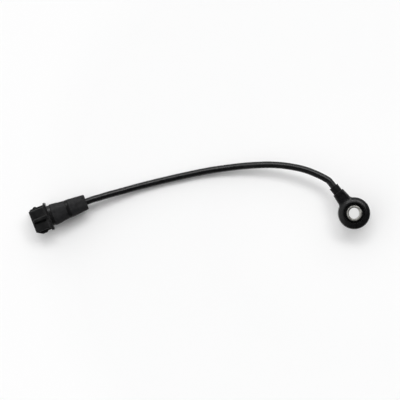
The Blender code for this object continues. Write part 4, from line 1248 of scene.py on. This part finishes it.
class KNOCK_OT_stage(bpy.types.Operator):
    """Set the pale floor and the soft sky with its softbox"""

    bl_idname = "knock.stage"
    bl_label = "Stage"

    def execute(self, context):
        sizes = settings().stage
        half = sizes.floor_width / 2
        corners = [(x * half, y * half, 0.0) for x, y in ((-1, -1), (1, -1), (1, 1), (-1, 1))]
        mesh = bpy.data.meshes.new("studio_floor")
        mesh.from_pydata(corners, [], [(0, 1, 2, 3)])
        mesh.materials.append(self.floor_paint())
        floor = bpy.data.objects.new("studio_floor", mesh)
        bpy.context.scene.collection.objects.link(floor)
        self.sky()
        bpy.context.scene.view_settings.view_transform = "Standard"
        return {"FINISHED"}

    def floor_paint(self):
        """Matt white paint, with painted light in the bore, round the head and past the plug, clear
        from below.
        """
        base = tuple(settings().colours.floor)
        material, tree, shader, place = surface("Emulsion paint, matt white", roughness=0.9)
        paint = mottled(tree, place, size=0.4, dark=scaled(base, 0.995), light=base)
        tree.links.new(paint, shader.inputs["Base Color"])
        shader.inputs["Specular IOR Level"].default_value = 0.0
        path = node(tree, "LightPath").outputs
        seen = 0.0
        for kind in ("Is Camera Ray", "Is Glossy Ray", "Is Transmission Ray"):
            both = {0: seen, 1: path[kind]}
            seen = node(tree, "Math", both, operation="MAXIMUM").outputs["Value"]
        # Painted light: the camera sees the floor lighter in the bore, round the head and past the
        # plug, over its shade
        bore = (bore_x, 0.0, 0.0)
        away = node(tree, "VectorMath", {0: place, 1: bore}, operation="DISTANCE").outputs["Value"]
        radius = settings().head.bore / 2
        inside = node(tree, "Math", {0: away, 1: radius}, operation="LESS_THAN").outputs["Value"]
        painted_light = node(tree, "Math", {0: inside, 1: PAINTED_BORE_LIGHT}, operation="MULTIPLY").outputs["Value"]
        for start, end, near, far in PAINTED_FLOOR_LIGHT:
            reach = {"From Min": start, "From Max": end, "To Min": near, "To Max": far}
            fade = node(tree, "MapRange", {"Value": away, **reach}, interpolation_type="SMOOTHSTEP")
            both = {0: painted_light, 1: fade.outputs["Result"]}
            painted_light = node(tree, "Math", both, operation="MAXIMUM").outputs["Value"]
        share = node(tree, "Math", {0: seen, 1: painted_light}, operation="MULTIPLY").outputs["Value"]
        white = node(tree, "Emission", {"Color": (1.0, 1.0, 1.0, 1.0), "Strength": 1.0})
        mixed = {0: share, 1: shader.outputs["BSDF"], 2: white.outputs["Emission"]}
        lit = node(tree, "MixShader", mixed)
        below = node(tree, "NewGeometry").outputs["Backfacing"]
        clear = node(tree, "BsdfTransparent")
        mixed = {0: below, 1: lit.outputs["Shader"], 2: clear.outputs["BSDF"]}
        sides = node(tree, "MixShader", mixed)
        tree.links.new(sides.outputs["Shader"], tree.nodes["Material Output"].inputs["Surface"])
        return material

    def sky(self):
        """A dim room with one bright side and a long softbox high on that side."""
        world = bpy.data.worlds.new("studio_sky")
        world.use_nodes = True
        tree = world.node_tree
        background = tree.nodes["Background"]
        way = node(tree, "TexCoord").outputs["Generated"]
        height = node(tree, "SeparateXYZ", {0: way}).outputs["Z"]
        squared = node(tree, "Math", {0: height, 1: height}, operation="MULTIPLY")
        rest = node(tree, "Math", {0: 1.0, 1: squared.outputs["Value"]}, operation="SUBTRACT")
        flat = node(tree, "Math", {0: rest.outputs["Value"], 1: 0.5}, operation="POWER")
        facings = []
        for heading in (SOFTBOX_HEADING, BRIGHT_SIDE_HEADING):
            side = (math.cos(math.radians(heading)), math.sin(math.radians(heading)), 0.0)
            along = node(tree, "VectorMath", {0: way, 1: side}, operation="DOT_PRODUCT")
            parts = {0: along.outputs["Value"], 1: flat.outputs["Value"]}
            facings.append(node(tree, "Math", parts, operation="DIVIDE").outputs["Value"])
        facing, side_facing = facings
        low = math.sin(math.radians(SOFTBOX_LOW))
        high = math.sin(math.radians(SOFTBOX_HIGH))
        below = (height, low - SOFTBOX_EDGE, low + SOFTBOX_EDGE)
        above = (height, high + SOFTBOX_EDGE, high - SOFTBOX_EDGE)
        lights = (
            (SOFTBOX_LEVEL, ((facing, *SOFTBOX_SIDES), below, above)),
            (BRIGHT_SIDE_LEVEL, ((side_facing, *BRIGHT_SIDE_TURN), (height, *BRIGHT_SIDE_TOP))),
            (DIM_SIDE_LEVEL, ((height, *DIM_SIDE_TOP),)),
        )
        total = CEILING_LEVEL
        for level, ramps in lights:
            for value, start, full in ramps:
                fade = {"Value": value, "From Min": start, "From Max": full}
                ramp = node(tree, "MapRange", fade, interpolation_type="SMOOTHSTEP")
                faded = {0: level, 1: ramp.outputs["Result"]}
                level = node(tree, "Math", faded, operation="MULTIPLY").outputs["Value"]
            total = node(tree, "Math", {0: total, 1: level}, operation="ADD").outputs["Value"]
        tree.links.new(total, background.inputs["Strength"])
        background.inputs["Color"].default_value = (1.0, 1.0, 1.0, 1.0)
        bpy.context.scene.world = world


class KNOCK_PT_panel(bpy.types.Panel):
    """The sensor's sizes, colours and operators"""

    bl_idname = "KNOCK_PT_panel"
    bl_label = "Knock Sensor"
    bl_space_type = "VIEW_3D"
    bl_region_type = "UI"
    bl_category = "Knock Sensor"

    def draw(self, context):
        for title, group in (
            ("Head", settings().head),
            ("Cable", settings().cable),
            ("Plug", settings().plug),
            ("Colours", settings().colours),
            ("Stage", settings().stage),
        ):
            box = self.layout.box()
            box.label(text=title)
            for name in group.bl_rna.properties.keys():
                if name not in {"rna_type", "name"}:
                    box.prop(group, name)
        for operator in OPERATORS:
            self.layout.operator(operator.bl_idname)


# The operators in the order in which the sensor is dressed
OPERATORS = (
    KNOCK_OT_camera,
    KNOCK_OT_plug_boot,
    KNOCK_OT_plug_shell,
    KNOCK_OT_cable,
    KNOCK_OT_cable_grommet,
    KNOCK_OT_bolt_sleeve,
    KNOCK_OT_head_overmould,
    KNOCK_OT_inner_pieces,
    KNOCK_OT_stage,
)
GROUPS = (HeadSizes, CableSizes, PlugSizes, FinishColours, StageSizes, SensorSettings)


def register():
    for item in (*GROUPS, *OPERATORS, KNOCK_PT_panel):
        bpy.utils.register_class(item)
    bpy.types.Scene.knock_sensor = PointerProperty(type=SensorSettings)


def unregister():
    del bpy.types.Scene.knock_sensor
    for item in reversed((*GROUPS, *OPERATORS, KNOCK_PT_panel)):
        bpy.utils.unregister_class(item)


def main():
    register()
    for operator in OPERATORS:
        group, name = operator.bl_idname.split(".")
        getattr(getattr(bpy.ops, group), name)()


if __name__ == "__main__":
    main()
